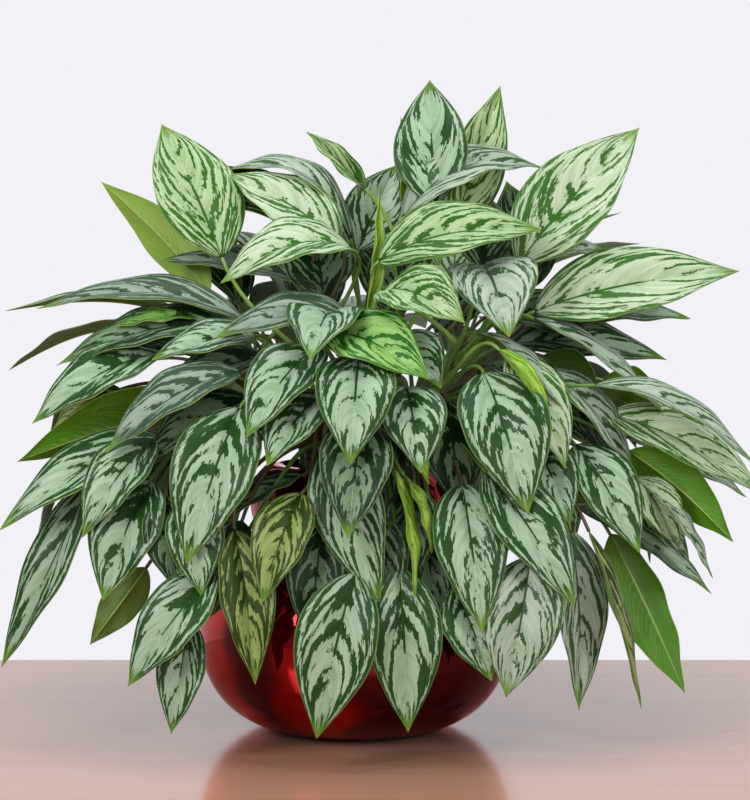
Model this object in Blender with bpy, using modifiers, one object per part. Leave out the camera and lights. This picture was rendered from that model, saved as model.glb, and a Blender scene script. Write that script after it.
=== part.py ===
# Chinese evergreen in a round red glass vase: vase, soil and seventeen leafy canes.
# Metres, +Z up. The origin is the centre of the vase's foot, and -Y is the front.
# The leaf lists are in centimetres, chosen by hand leaf by leaf; the canes at the back follow a rule.
import math

import bmesh
import bpy
import numpy as np
from mathutils.bvhtree import BVHTree

cm = 0.01
mm = 0.001

# vase
footRadius = 44 * mm
bellyRadius = 133.5 * mm
bellyHeight = 80 * mm  # height of the widest ring
bellyTop = 79 * mm  # from the widest ring up to where the neck begins
neckRadius = 68 * mm
collarRadius = 89 * mm
mouthRadius = 62 * mm
vaseHeight = 226 * mm
vaseWall = 4 * mm
vaseSides = 32

# soil
soilFit = 0.4 * mm  # clearance from the glass
holeBottom = 166 * mm
holeFit = 0.4 * mm

# canes and leaves
caneFoot = 5.5 * mm  # radius in the soil
caneTop = 4.2 * mm  # radius at the crown
caneStraight = 23 * cm  # the canes stand upright to this height, then lean
petioleRoot = 2.2 * mm
petioleEnd = 1.5 * mm
bladeThick = 0.8 * mm
leafGap = 0.7 * mm  # how far each leaf is thickened when it is tested against its neighbours
bladeStations = (0.14, 0.42, 0.74)
goldenTurn = math.radians(137.5)


def leaf(bx, by, bz, tx, ty, tz, width=6.0, face=(0, -6, 8), arch=1.0, bend=0.0, fold=30):
    """One blade from its base to its tip, in centimetres. face is where its upper side looks, arch how far the
    midrib bows that way, bend how far it bows sideways, and fold how much the two halves are closed, in degrees."""
    return {
        "base": np.array((bx, by, bz)) * cm,
        "tip": np.array((tx, ty, tz)) * cm,
        "face": np.array(face, float),
        "width": width * cm,
        "arch": arch * cm,
        "bend": bend * cm,
        "fold": math.radians(fold),
    }


canes = {
    # name: foot (distance from the axis, bearing in degrees), crown, leaves
    "cane_top": ((1.9, 25), (4.5, 1.5, 37.0), (
        leaf(6.8, -1, 44.6, 6.4, 4, 55.4, 6.6, face=(-2, -9, 4), arch=0.5),
        leaf(8.2, 3, 42.5, 12.6, 7, 55.0, 5.4, face=(4, -9, 3), arch=0.5),
        leaf(4.2, 2, 44.2, 3.9, 3, 52.2, 2.8, face=(3, -8, 2), arch=0.2, fold=110),
        leaf(4.1, 0, 43.5, 16.2, 3, 47.8, 5.4, face=(0, -6, 8), arch=3.0),
        leaf(0.2, 4, 40.7, 3.6, 8, 48.2, 5.6, face=(1, -9, 4), arch=0.6),
        leaf(0.9, 4, 46.0, -4.3, 6, 51.0, 2.8, face=(-3, -6, 6), arch=0.3, fold=100),
        leaf(10.8, 1, 39.1, 11.5, 6, 45.5, 5.4, face=(0, -8, 5), arch=0.4),
        leaf(3.4, 2, 36.0, 4.4, 3, 43.0, 5.6, face=(0, -8, 4), arch=0.4),
    )),
    "cane_top_left": ((1.9, 165), (-4.0, 0.0, 35.0), (
        leaf(-11.2, -1, 40.1, -16.9, 6, 51.7, 7.6, face=(2, -9, 4), arch=0.6),
        leaf(-0.3, 0, 41.4, -10.0, 2, 47.3, 6.0, face=(0, -7, 7), arch=0.8),
        leaf(-0.3, -2, 40.8, -11.1, -6, 38.0, 6.2, face=(-1, -6, 8), arch=2.0),
        leaf(-4.3, 3, 43.1, -15.7, 5, 47.4, 5.6, face=(0, -6, 7), arch=0.8),
        leaf(-0.4, 4, 41.7, -13.6, 6, 46.8, 4.6, face=(0, -3, 9), arch=4.0),
        leaf(-12.6, 3, 37.0, -22.2, 6, 46.7, 4.8, face=(-3, 6, 6), arch=0.8),
        leaf(0.9, -3, 35.0, 2.0, -2, 45.7, 2.4, face=(5, -7, 2), arch=0.2, fold=120),
        leaf(-2.7, 1, 36.7, -3.6, 5, 43.0, 6.4, face=(0, -8, 5), arch=0.4),
    )),
    "cane_top_right": ((4.3, 6), (9.5, 0.0, 33.0), (
        leaf(13.8, -1, 39.6, 24.3, 2, 51.2, 7.8, face=(-2, -9, 4), arch=0.8),
        leaf(2.0, -4, 39.8, 15.6, -5, 42.5, 6.6, face=(0, -7, 7), arch=1.6),
        leaf(15.1, -2, 35.6, 32.5, -1, 39.0, 7.2, face=(0, -8, 6), arch=1.2),
        leaf(15.3, 0, 35.0, 28.7, 1, 34.9, 5.5, face=(0, -5, 8), arch=0.8),
        leaf(10.6, -3, 39.4, 12.5, -11, 33.8, 7.8, face=(0, -7, 7), arch=1.4),
        leaf(15.7, 3, 40.1, 21.4, 5, 40.9, 4.2, face=(0, -5, 8), arch=0.5),
        leaf(15.3, 4, 37.4, 13.2, 7, 46.8, 6.2, face=(0, -8, 5), arch=0.4),
        leaf(14.9, -4, 35.1, 25.7, -7, 27.2, 5.0, face=(3, -2, 9), arch=0.6),
        leaf(12.5, 1, 35.5, 20.0, 0, 33.4, 5.6, face=(0, -6, 8), arch=0.8),
    )),
    "cane_left": ((4.3, 186), (-8.5, -1.5, 30.0), (
        leaf(-9.4, -3, 35.0, -27.0, -1, 35.8, 5.0, face=(0, -4, 9), arch=2.0),
        leaf(-4.7, 2, 36.5, -17.0, 3, 38.3, 5.0, face=(0, -4, 8), arch=0.8),
        leaf(-10.9, -4, 34.6, -24.8, -5, 31.2, 5.4, face=(0, -5, 8), arch=1.2),
        leaf(-16.0, -5, 32.3, -26.4, -8, 26.6, 5.6, face=(-1, -6, 7), arch=1.2),
        leaf(-8.0, -7, 33.8, -16.5, -9, 31.9, 4.6, face=(0, -5, 8), arch=0.6),
        leaf(-13.0, -4, 35.2, -20.0, -5, 34.4, 2.8, face=(0, -4, 9), arch=0.4),
        leaf(-19.5, -4, 29.2, -25.2, -5, 25.8, 3.2, face=(0, -6, 8), arch=0.4),
        leaf(-7.5, -6, 32.0, -16.0, -8, 28.3, 5.2, face=(-1, -6, 7), arch=0.8),
        leaf(-9.5, -1, 33.6, -20.0, -2, 32.6, 5.2, face=(0, -7, 6), arch=0.6),
    )),
    "cane_left_low": ((4.3, 210), (-8.0, -4.0, 27.5), (
        leaf(-9.1, -9, 30.9, -19.9, -12, 24.6, 5.6, face=(-1, -5, 8), arch=1.4),
        leaf(-12.4, -4, 27.6, -27.8, -6, 23.4, 6.6, face=(0, 7, 6), arch=0.8),
        leaf(-15.7, -8, 25.3, -28.7, -11, 18.2, 5.6, face=(-1, -6, 8), arch=1.4),
        leaf(-16.2, -10, 25.5, -21.6, -14, 18.0, 5.4, face=(-2, -7, 6), arch=1.0),
        leaf(-21.6, -8, 22.0, -28.8, -10, 6.8, 4.8, face=(-4, -7, 4), arch=0.8, bend=-0.8),
        leaf(-8.5, -8, 28.6, -17.0, -11, 23.8, 5.4, face=(-1, -6, 7), arch=0.8),
        leaf(-18.0, -4, 26.5, -26.0, -4, 20.5, 5.4, face=(-1, -5, 8), arch=0.8),
        leaf(-13.5, -6, 25.5, -18.5, -8, 18.0, 5.2, face=(-1, -8, 5), arch=0.6),
    )),
    "cane_left_front": ((4.3, 234), (-5.0, -6.0, 28.5), (
        leaf(-9.1, -12, 28.2, -13.1, -17, 16.2, 7.2, face=(-1, -9, 5), arch=1.0),
        leaf(-16.4, -12, 22.3, -19.9, -16, 13.0, 6.4, face=(-2, -9, 5), arch=0.8),
        leaf(-2.9, -10, 33.0, -8.4, -16, 26.1, 6.2, face=(-2, -7, 7), arch=1.0),
        leaf(-2.3, -11, 29.4, -6.8, -17, 24.0, 5.6, face=(-2, -7, 6), arch=0.8),
        leaf(-16.8, -11, 15.2, -21.2, -13, 9.2, 3.4, face=(4, 6, 5), arch=0.4),
        leaf(-15.0, -12.5, 21.0, -13.8, -15, 13.6, 5.0, face=(1, -8, 4), arch=0.6),
    )),
    "cane_front_left": ((4.3, 257), (-2.6, -7.0, 26.5), (
        leaf(-13.0, -14, 19.5, -11.9, -17, 12.2, 4.8, face=(1, -9, 4), arch=0.6),
        leaf(-10.9, -15, 15.4, -17.7, -17, 6.7, 5.4, face=(-3, -9, 4), arch=0.8),
        leaf(-13.0, -15, 11.6, -14.4, -16.5, 2.7, 4.0, face=(0, -9, 3), arch=0.5),
        leaf(-8.9, -13.5, 19.3, -11.8, -15.5, 11.5, 4.6, face=(3, -8, 3), arch=0.5),
        leaf(-9.4, -15, 18.8, -7.7, -17, 6.7, 4.8, face=(3, -8, 3), arch=0.6),
        leaf(-4.1, -14.5, 20.6, -7.1, -18, 12.4, 5.0, face=(-2, -8, 4), arch=0.8),
        leaf(-4.2, -10, 22.6, -10.6, -13, 19.0, 3.4, face=(-4, -4, 8), arch=0.4),
        leaf(-2.5, -14.5, 19.0, -3.5, -16, 10.0, 5.0, face=(0, -9, 3), arch=0.4),
    )),
    "cane_front": ((1.9, 270), (0.5, -4.5, 31.0), (
        leaf(0.2, -6, 34.8, -11.3, -10, 33.7, 5.4, face=(0, -5, 8), arch=1.4),
        leaf(-1.7, -6, 35.4, -3.4, -17, 32.4, 6.4, face=(0, -4, 9), arch=1.2),
        leaf(2.4, -7, 37.4, 8.9, -13, 35.0, 6.2, face=(0, -7, 7), arch=1.2),
        leaf(-2.0, -9, 34.0, 6.0, -15, 30.6, 6.8, face=(1, -7, 7), arch=1.2),
        leaf(3.0, -8, 33.6, 7.0, -13, 29.8, 5.2, face=(2, -7, 6), arch=0.8),
        leaf(0.4, -12, 32.2, -0.2, -18, 24.2, 6.6, face=(0, -8, 6), arch=1.2),
        leaf(4.1, -12, 29.9, 5.3, -17, 23.4, 5.6, face=(1, -8, 5), arch=0.8),
        leaf(0.6, -13.5, 27.2, -0.4, -19.2, 18.6, 6.0, face=(0, -8, 5), arch=0.8),
    )),
    "cane_front_low": ((4.3, 281), (1.8, -7.0, 26.5), (
        leaf(0.1, -17, 15.6, -2.9, -18, 2.6, 6.8, face=(-1, -9, 3), arch=0.8),
        leaf(3.6, -16, 15.9, 4.3, -17, 2.9, 6.2, face=(1, -9, 3), arch=0.6),
        leaf(2.0, -14.5, 19.9, 2.0, -16, 12.0, 5.0, face=(0, -9, 3), arch=0.4),
        leaf(-3.4, -12.5, 25.2, 0.6, -17.5, 13.2, 6.0, face=(-2, -9, 4), arch=0.8),
        leaf(2.6, -12, 27.6, 6.0, -15, 22.3, 3.8, face=(7, -2, 5), arch=0.3),
        leaf(3.2, -15, 23.6, 4.8, -17.5, 13.6, 3.0, face=(9, -3, 2), arch=0.4),
        leaf(4.0, -14, 23.0, 6.2, -16, 17.0, 3.0, face=(9, -3, 3), arch=0.3),
        leaf(4.8, -12.5, 22.0, 4.2, -14.5, 14.0, 4.8, face=(0, -9, 4), arch=0.4),
        leaf(2.2, -9.5, 27.0, 2.0, -12, 18.5, 5.4, face=(0, -9, 3), arch=0.4),
    )),
    "cane_right_front": ((4.3, 304), (5.6, -5.6, 28.5), (
        leaf(10.5, -10, 30.9, 13.8, -15.5, 20.0, 7.6, face=(1, -9, 5), arch=1.0),
        leaf(12.7, -7, 32.3, 17.0, -12, 23.2, 5.6, face=(4, -7, 4), arch=0.8),
        leaf(10.0, -7, 34.0, 16.9, -10, 27.9, 4.4, face=(5, -2, 7), arch=0.8),
        leaf(7.2, -12, 22.1, 8.6, -18, 11.0, 6.2, face=(0, -9, 4), arch=1.0),
        leaf(10.6, -12.5, 22.1, 17.4, -17, 11.9, 6.0, face=(2, -9, 5), arch=1.0),
        leaf(14.0, -15, 16.6, 12.0, -17, 5.7, 6.6, face=(1, -9, 3), arch=0.8),
        leaf(8.0, -15, 14.2, 10.9, -17, 7.0, 5.0, face=(1, -9, 3), arch=0.6),
        leaf(5.5, -13.5, 19.5, 6.8, -16, 10.5, 5.0, face=(0, -9, 3), arch=0.4),
        leaf(11.7, -10.5, 32.8, 15.9, -13, 26.4, 2.6, face=(6, -7, 3), arch=0.3, fold=100),
        leaf(7.6, -8.5, 28.5, 8.6, -11, 20.0, 6.0, face=(0, -9, 3), arch=0.4),
    )),
    "cane_right": ((4.3, 342), (10.0, -2.5, 30.0), (
        leaf(13.2, 0, 32.7, 26.6, -1, 31.4, 5.6, face=(0, -6, 8), arch=1.0),
        leaf(19.6, -7, 29.8, 32.8, -8, 23.2, 3.8, face=(1, -4, 9), arch=1.8),
        leaf(20.5, -3, 29.5, 26.0, -1, 27.5, 4.6, face=(0, 6, 6), arch=0.6),
        leaf(20.9, -6, 27.2, 33.4, -9, 20.9, 6.0, face=(1, -6, 7), arch=1.2),
        leaf(15.9, -6, 31.0, 22.8, -9, 22.6, 5.0, face=(4, -4, 6), arch=0.8),
        leaf(15.4, -3, 31.7, 20.5, -3, 27.4, 5.0, face=(2, 6, 5), arch=0.6),
        leaf(23.0, -2, 25.0, 33.0, -3, 20.0, 3.6, face=(1, -5, 8), arch=0.8),
        leaf(11.0, -5, 33.2, 18.5, -8, 29.3, 5.4, face=(1, -5, 8), arch=0.8),
        leaf(16.5, -3.5, 29.0, 22.0, -5, 23.5, 5.4, face=(1, -7, 6), arch=0.6),
    )),
    "cane_right_low": ((4.3, 323), (9.0, -5.0, 27.5), (
        leaf(14.6, -8, 25.1, 17.2, -14, 19.0, 4.8, face=(2, -8, 5), arch=0.6),
        leaf(18.1, -8, 25.4, 23.0, -12.5, 17.0, 5.6, face=(2, -8, 5), arch=0.8),
        leaf(22.6, -6, 24.3, 31.0, -8, 17.0, 4.6, face=(-3, 6, 6), arch=0.8),
        leaf(23.9, -8, 21.4, 29.2, -10, 14.1, 3.2, face=(6, -3, 5), arch=0.8, bend=0.6),
        leaf(23.1, -8, 22.7, 26.6, -9, 17.0, 4.2, face=(2, -6, 4), arch=0.5),
        leaf(23.0, -4, 19.9, 27.8, -6, 15.1, 4.0, face=(1, -5, 6), arch=0.5),
        leaf(18.2, -6, 19.8, 29.6, -7, 12.4, 4.6, face=(2, -4, 7), arch=0.8),
        leaf(21.1, -7, 17.4, 27.0, -10, 4.7, 5.8, face=(-5, 6, 3), arch=0.8, bend=0.8),
        leaf(17.3, -13, 18.5, 18.0, -14, 4.1, 5.2, face=(5, -7, 2), arch=0.6),
        leaf(18.8, -13, 18.4, 23.0, -14, 4.2, 3.4, face=(8, -3, 3), arch=0.6, bend=1.0),
        leaf(14.5, -10.5, 22.0, 17.0, -13, 15.8, 5.0, face=(1, -7, 6), arch=0.6),
    )),
}

# canes at the back: foot, crown, bearing that the cane looks to, leaves, seed
backCanes = {
    "cane_back_right": ((4.3, 35), (8.0, 4.5, 30.0), 36, 10, 3),
    "cane_back_middle_right": ((4.3, 68), (4.5, 7.5, 27.0), 64, 11, 5),
    "cane_back_top": ((1.9, 95), (0.5, 4.0, 34.0), 92, 10, 8),
    "cane_back_middle_left": ((4.3, 110), (-3.5, 7.5, 27.5), 116, 11, 13),
    "cane_back_left": ((4.3, 145), (-8.0, 4.5, 29.5), 144, 10, 21),
}


def backLeaves(crown, bearing, count, seed):
    """Leaves on a cane that nobody placed by hand: they turn by the golden angle within 50 degrees of the
    cane's bearing, and the first stand up while the last hang down."""
    rng = np.random.default_rng(seed)
    made = []
    for i in range(count):
        share = i / (count - 1)
        turn = math.radians(bearing + 50 * math.sin(goldenTurn * (i + 0.5)) + rng.uniform(-8, 8))
        rise = math.radians(72 - 92 * share + rng.uniform(-6, 6))
        fall = rise - math.radians(28 + 22 * share)
        out = np.array((math.cos(turn), math.sin(turn), 0.0))
        stalk = (7.5 + 5.5 * share + rng.uniform(-1, 1)) * cm
        length = (13.5 + rng.uniform(-1.5, 2.0)) * cm
        base = np.array(crown) * cm + stalk * (out * math.cos(rise) + np.array((0, 0, math.sin(rise))))
        tip = base + length * (out * math.cos(fall) + np.array((0, 0, math.sin(fall))))
        tip[2] = min(max(tip[2], 5 * cm), 45 * cm)
        made.append({
            "base": base, "tip": tip, "face": out * 5 + np.array((0, 0, 8.0)), "width": length * 0.45,
            "arch": 1.2 * cm, "bend": rng.uniform(-0.6, 0.6) * cm, "fold": math.radians(30),
        })
    return tuple(made)


def unit(v):
    return v / np.linalg.norm(v)


def bladeFrame(one, t):
    """Midrib point, side and normal at t. The midrib is base + chord t + arch and bend times sin(pi t^0.85)."""
    chord = one["tip"] - one["base"]
    along = unit(chord)
    up = unit(one["face"] - along * (one["face"] @ along))
    side = np.cross(along, up)
    bow = one["arch"] * up + one["bend"] * side
    middle = one["base"] + chord * t + bow * math.sin(math.pi * t**0.85)
    near = max(t, 0.02)
    slope = math.pi * 0.85 * near**-0.15 * math.cos(math.pi * near**0.85)
    along = unit(chord + bow * slope)
    side = unit(side - along * (side @ along))
    return middle, side, np.cross(side, along), along


def halfWidth(one, t):
    """w/2 t^0.75 (1 - t)^1.2, scaled so that its highest value is half the width."""
    return one["width"] * 0.5 * t**0.75 * (1 - t) ** 1.2 / 0.2725


def bladeRing(one, t, thick):
    """Six points round the blade at t: left, rib and right above, then right, rib and left below."""
    middle, side, normal, _ = bladeFrame(one, t)
    half = halfWidth(one, t)
    lift, spread = math.sin(one["fold"] / 2), math.cos(one["fold"] / 2)
    left = middle + half * (normal * lift - side * spread)
    right = middle + half * (normal * lift + side * spread)
    leftUp = (normal * spread + side * lift) * thick / 2
    rightUp = (normal * spread - side * lift) * thick / 2
    rib = normal * thick / 2 / max(spread, 0.5)
    return [left + leftUp, middle + rib, right + rightUp, right - rightUp, middle - rib, left - leftUp]


def stalkRing(middle, along, side, radius):
    """Three points round a petiole: left and right above, then below."""
    side = unit(side - along * (side @ along))
    normal = np.cross(side, along)
    wide, low = side * radius * 1.1, normal * radius
    return [middle - wide + low * 0.6, middle + wide + low * 0.6, middle - low * 1.2]


def caneHeight(crown, share):
    """Point and direction on the leaning part of a cane: a quadratic Bezier curve from its straight foot."""
    foot, top = crown
    first = np.array((foot[0], foot[1], caneStraight))
    second = first + np.array((0, 0, (top[2] - caneStraight) * 0.55))
    point = first * (1 - share) ** 2 + second * 2 * share * (1 - share) + top * share**2
    along = (second - first) * (1 - share) + (top - second) * share
    return point, unit(along)


def stalkCurve(one, root, rootAlong, sway):
    """Cubic Bezier curve of the petiole, from the cane to the blade's base. sway moves its middle sideways."""
    _, side, _, along = bladeFrame(one, 0)
    reach = np.linalg.norm(one["base"] - root)
    outward = one["base"] - root
    outward[2] = 0
    start = unit(rootAlong * 0.7 + outward / reach)
    corners = [root, root + start * reach * 0.4, one["base"] - along * reach * 0.35, one["base"]]
    corners[1] = corners[1] + side * sway
    corners[2] = corners[2] + side * sway
    return corners


def onCurve(corners, t):
    a, b, c, d = corners
    point = a * (1 - t) ** 3 + b * 3 * t * (1 - t) ** 2 + c * 3 * t * t * (1 - t) + d * t**3
    along = (b - a) * (1 - t) ** 2 + (c - b) * 2 * t * (1 - t) + (d - c) * t * t
    return point, unit(along)


def leafSolid(one, corners, extra=0.0):
    """Points and triangles of a petiole and its blade, one closed loft. extra thickens it all round."""
    _, side, _, _ = bladeFrame(one, 0)
    points = []
    for t in (0.0, 0.5, 1.0):
        point, along = onCurve(corners, t)
        points += stalkRing(point, along, side, petioleRoot + (petioleEnd - petioleRoot) * t + extra)
    faces = [(2, 1, 0)]
    for i in (0, 3):
        for j in range(3):
            a, b = i + j, i + (j + 1) % 3
            faces += [(a, b, a + 3), (b, b + 3, a + 3)]
    # the petiole's three corners open out to the blade's six
    left, right, below = 6, 7, 8
    for t in bladeStations:
        points += bladeRing(one, t, bladeThick + 2 * extra)
    first = 9
    faces += [(left, right, first + 1), (right, first + 2, first + 1), (left, first + 1, first)]
    faces += [(right, first + 3, first + 2), (right, below, first + 4), (right, first + 4, first + 3)]
    faces += [(below, left, first + 5), (below, first + 5, first + 4), (left, first, first + 5)]
    for i in range(len(bladeStations) - 1):
        for j in range(6):
            a, b = first + i * 6 + j, first + i * 6 + (j + 1) % 6
            c, d = b + 6, a + 6
            # the upper and lower faces of a half are split along the same diagonal
            faces += [(a, c, d), (a, b, c)] if j in (0, 3) else [(a, b, d), (b, c, d)]
    last, tip = len(points) - 6, len(points)
    faces += [(last + j, last + (j + 1) % 6, tip) for j in range(6)]
    return points + [one["tip"]], faces


def grown(name, one, corners, extra):
    """The test solid of one leaf with the box round it."""
    points, faces = leafSolid(one, corners, extra)
    points = np.array(points)
    return {"cane": name, "low": points.min(0), "high": points.max(0), "tree": BVHTree.FromPolygons(points.tolist(), faces)}


def meets(one, other):
    if (one["low"] > other["high"]).any() or (one["high"] < other["low"]).any():
        return False
    return bool(one["tree"].overlap(other["tree"]))


def ways():
    """Ways of bending a leaf clear, the smallest first: a shift of the blade and a sway of the stalk."""
    pulls = ((0, -1, 0), (0, 1, 0), (0, 0, 1), (0, 0, -1), (1, 0, 0), (-1, 0, 0))
    yield np.zeros(3), 0.0
    for size in (0.5, 1.0, 1.5, 2.0, 2.6, 3.2, 4.0):
        for sway in (0.0, size * cm, -size * cm):
            for pull in pulls:
                yield np.array(pull) * size * cm, sway


def settle(name, one, root, rootAlong, standing, mustStand):
    """Bends one leaf until it is clear of the other canes, and of its own cane's leaves where that can be."""
    own = None
    for shift, sway in ways():
        moved = dict(one, base=one["base"] + shift, tip=one["tip"] + shift)
        corners = stalkCurve(moved, root, rootAlong, sway)
        test = grown(name, moved, corners, leafGap)
        if any(meets(test, other) for other in standing if other["cane"] != name):
            continue
        if not any(meets(test, other) for other in standing if other["cane"] == name and "stem" not in other):
            return moved, corners, test
        own = own or (moved, corners, test)
        if np.abs(shift).max() > 1.2 * cm:
            break
    if own is None and mustStand:
        raise ValueError("no clear place on " + name + " for the leaf at " + str(one["tip"]))
    return own or (None, None, None)


def footPlace(distance, bearing):
    return distance * cm * math.cos(math.radians(bearing)), distance * cm * math.sin(math.radians(bearing))


def stemPoints(crown):
    """Down in its hole, straight up through the soil and the mouth, then leaning to the crown."""
    foot = crown[0]
    points = [(foot[0], foot[1], holeBottom + holeFit), (foot[0], foot[1], caneStraight - 2 * cm)]
    points += [tuple(caneHeight(crown, share)[0]) for share in (0.25, 0.6, 1.0)]
    return points


def makeStem(name, crown):
    points = stemPoints(crown)
    curve = bpy.data.curves.new(name + "_curve", "CURVE")
    curve.dimensions = "3D"
    curve.bevel_depth = caneFoot
    curve.bevel_resolution = 1
    curve.use_fill_caps = True
    spline = curve.splines.new("POLY")
    spline.points.add(len(points) - 1)
    for i, point in enumerate(points):
        spline.points[i].co = (*point, 1)
        spline.points[i].radius = 1 - (1 - caneTop / caneFoot) * max(0, i - 1) / (len(points) - 2)
    drawn = bpy.data.objects.new(name + "_curve", curve)
    bpy.context.scene.collection.objects.link(drawn)
    bpy.context.view_layer.update()
    mesh = bpy.data.meshes.new_from_object(drawn.evaluated_get(bpy.context.evaluated_depsgraph_get()))
    weld(mesh)
    bpy.data.objects.remove(drawn)
    stem = bpy.data.objects.new(name, mesh)
    part.objects.link(stem)
    return stem


def weld(mesh):
    work = bmesh.new()
    work.from_mesh(mesh)
    bmesh.ops.remove_doubles(work, verts=work.verts, dist=0.00001)
    work.to_mesh(mesh)
    work.free()


def asTest(name, item):
    """A stem, the vase or the soil as something that leaves keep clear of."""
    mesh = bpy.data.meshes.new_from_object(item.evaluated_get(bpy.context.evaluated_depsgraph_get()))
    points = np.array([vertex.co[:] for vertex in mesh.vertices])
    faces = [tuple(face.vertices) for face in mesh.polygons]
    bpy.data.meshes.remove(mesh)
    tree = BVHTree.FromPolygons(points.tolist(), faces)
    return {"cane": name, "stem": True, "low": points.min(0), "high": points.max(0), "tree": tree}


def placeLeaves(plan, standing):
    """Every leaf of every cane, the hand placed ones first. Low leaves grow from lower on their cane."""
    placed = {name: [] for name in plan}
    for name, (crown, leaves, mustStand) in plan.items():
        order = sorted(range(len(leaves)), key=lambda i: leaves[i]["base"][2])
        for rank, i in enumerate(order):
            share = 0.3 + 0.7 * rank / (len(leaves) - 1)
            root, rootAlong = caneHeight(crown, share)
            one, corners, test = settle(name, leaves[i], root, rootAlong, standing, mustStand)
            if one is not None:
                standing.append(test)
                placed[name].append((one, corners))
    return placed


def joinLeaves(stem, leaves):
    """One Boolean union of the cane with all its leaves."""
    group = bpy.data.collections.new(stem.name + "_leaves")
    bpy.context.scene.collection.children.link(group)
    for one, corners in leaves:
        points, faces = leafSolid(one, corners)
        mesh = bpy.data.meshes.new("leaf")
        mesh.from_pydata([tuple(p) for p in points], [], faces)
        group.objects.link(bpy.data.objects.new("leaf", mesh))
    union = stem.modifiers.new("leaves", "BOOLEAN")
    union.operation = "UNION"
    union.operand_type = "COLLECTION"
    union.collection = group
    union.solver = "MANIFOLD"
    bpy.context.view_layer.update()
    joined = bpy.data.meshes.new_from_object(stem.evaluated_get(bpy.context.evaluated_depsgraph_get()))
    stem.modifiers.clear()
    stem.data = joined
    for item in list(group.objects):
        bpy.data.objects.remove(item)
    bpy.data.collections.remove(group)


def arc(count, first=0.0, last=90.0):
    return [math.radians(first + (last - first) * i / count) for i in range(count + 1)]


def outside():
    """The glass from the mouth down to the foot: rolled collar, shoulder, then the squat belly."""
    middle = (bellyHeight + bellyTop + vaseHeight) / 2
    tall = (vaseHeight - bellyHeight - bellyTop) / 2
    lip = mouthRadius + vaseWall
    collar = [(lip + (collarRadius - lip) * math.sin(a), middle + tall * math.cos(a)) for a in arc(6, 0, 180)]
    shoulder = [
        (neckRadius + (bellyRadius - neckRadius) * math.sin(a) ** 0.9, bellyHeight + bellyTop * math.cos(a))
        for a in arc(5)[1:]
    ]
    belly = [
        (footRadius + (bellyRadius - footRadius) * math.cos(a) ** 0.8, bellyHeight * (1 - math.sin(a)))
        for a in arc(6)[1:]
    ]
    return collar + shoulder + belly


def inside(gap, collarFrom=0):
    """The inner wall from the foot up, gap further in. collarFrom leaves out that many steps at the mouth."""
    middle = (bellyHeight + bellyTop + vaseHeight) / 2
    tall = (vaseHeight - bellyHeight - bellyTop) / 2
    belly = [
        (footRadius - vaseWall + (bellyRadius - footRadius) * math.sin(a) ** 0.8 - gap,
         vaseWall + gap + (bellyHeight - vaseWall - gap) * (1 - math.cos(a)))
        for a in arc(3)
    ]
    shoulder = [
        (neckRadius - vaseWall + (bellyRadius - neckRadius) * math.cos(a) ** 0.9 - gap,
         bellyHeight + (bellyTop - vaseWall - gap) * math.sin(a))
        for a in arc(3)[1:]
    ]
    collar = [
        (mouthRadius + (collarRadius - mouthRadius - vaseWall) * math.sin(a) - gap, middle - tall * math.cos(a))
        for a in arc(6, 0, 180)
    ]
    return belly + shoulder + collar[: len(collar) - collarFrom]


def turned(name, profile):
    """A profile of (radius, height) turned about the vase's axis."""
    mesh = bpy.data.meshes.new(name)
    mesh.from_pydata([(r, 0, z) for r, z in profile], [(i, i + 1) for i in range(len(profile) - 1)], [])
    item = bpy.data.objects.new(name, mesh)
    part.objects.link(item)
    screw = item.modifiers.new("turn", "SCREW")
    screw.steps = screw.render_steps = vaseSides
    screw.use_merge_vertices = True
    screw.merge_threshold = 0.00001
    return item


def makeVase():
    return turned("vase", [(0, vaseWall), *inside(0), *outside(), (0, 0)])


def makeSoil(feet):
    """Fills the vase to above its neck, with a plain blind hole for each cane."""
    filled = inside(soilFit, collarFrom=2)
    soil = turned("soil", [(0, filled[-1][1]), *reversed(filled), (0, filled[0][1])])
    drills = bpy.data.collections.new("cutters")
    bpy.context.scene.collection.children.link(drills)
    for x, y in feet:
        bpy.ops.mesh.primitive_cylinder_add(vertices=10, radius=caneFoot + 2 * holeFit, depth=20 * cm)
        drill = bpy.context.object
        drill.location = (x, y, holeBottom + 10 * cm)
        drill.name = "hole"
        drill.display_type = "WIRE"
        drill.hide_render = True
        for other in list(drill.users_collection):
            other.objects.unlink(drill)
        drills.objects.link(drill)
    cut = soil.modifiers.new("holes", "BOOLEAN")
    cut.operation = "DIFFERENCE"
    cut.operand_type = "COLLECTION"
    cut.collection = drills
    return soil


def finish(item, name, colour, roughness):
    material = bpy.data.materials.new(name)
    material.use_nodes = True
    shader = material.node_tree.nodes["Principled BSDF"]
    shader.inputs["Base Color"].default_value = (*colour, 1)
    shader.inputs["Roughness"].default_value = roughness
    item.data.materials.clear()
    item.data.materials.append(material)


for item in list(bpy.data.objects):
    bpy.data.objects.remove(item)
part = bpy.data.collections.new("potted_chinese_evergreen")
bpy.context.scene.collection.children.link(part)

plan = {}
for name, (foot, crown, leaves) in canes.items():
    plan[name] = ((footPlace(*foot), np.array(crown) * cm), leaves, True)
for name, (foot, crown, bearing, count, seed) in backCanes.items():
    plan[name] = ((footPlace(*foot), np.array(crown) * cm), backLeaves(crown, bearing, count, seed), False)

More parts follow.
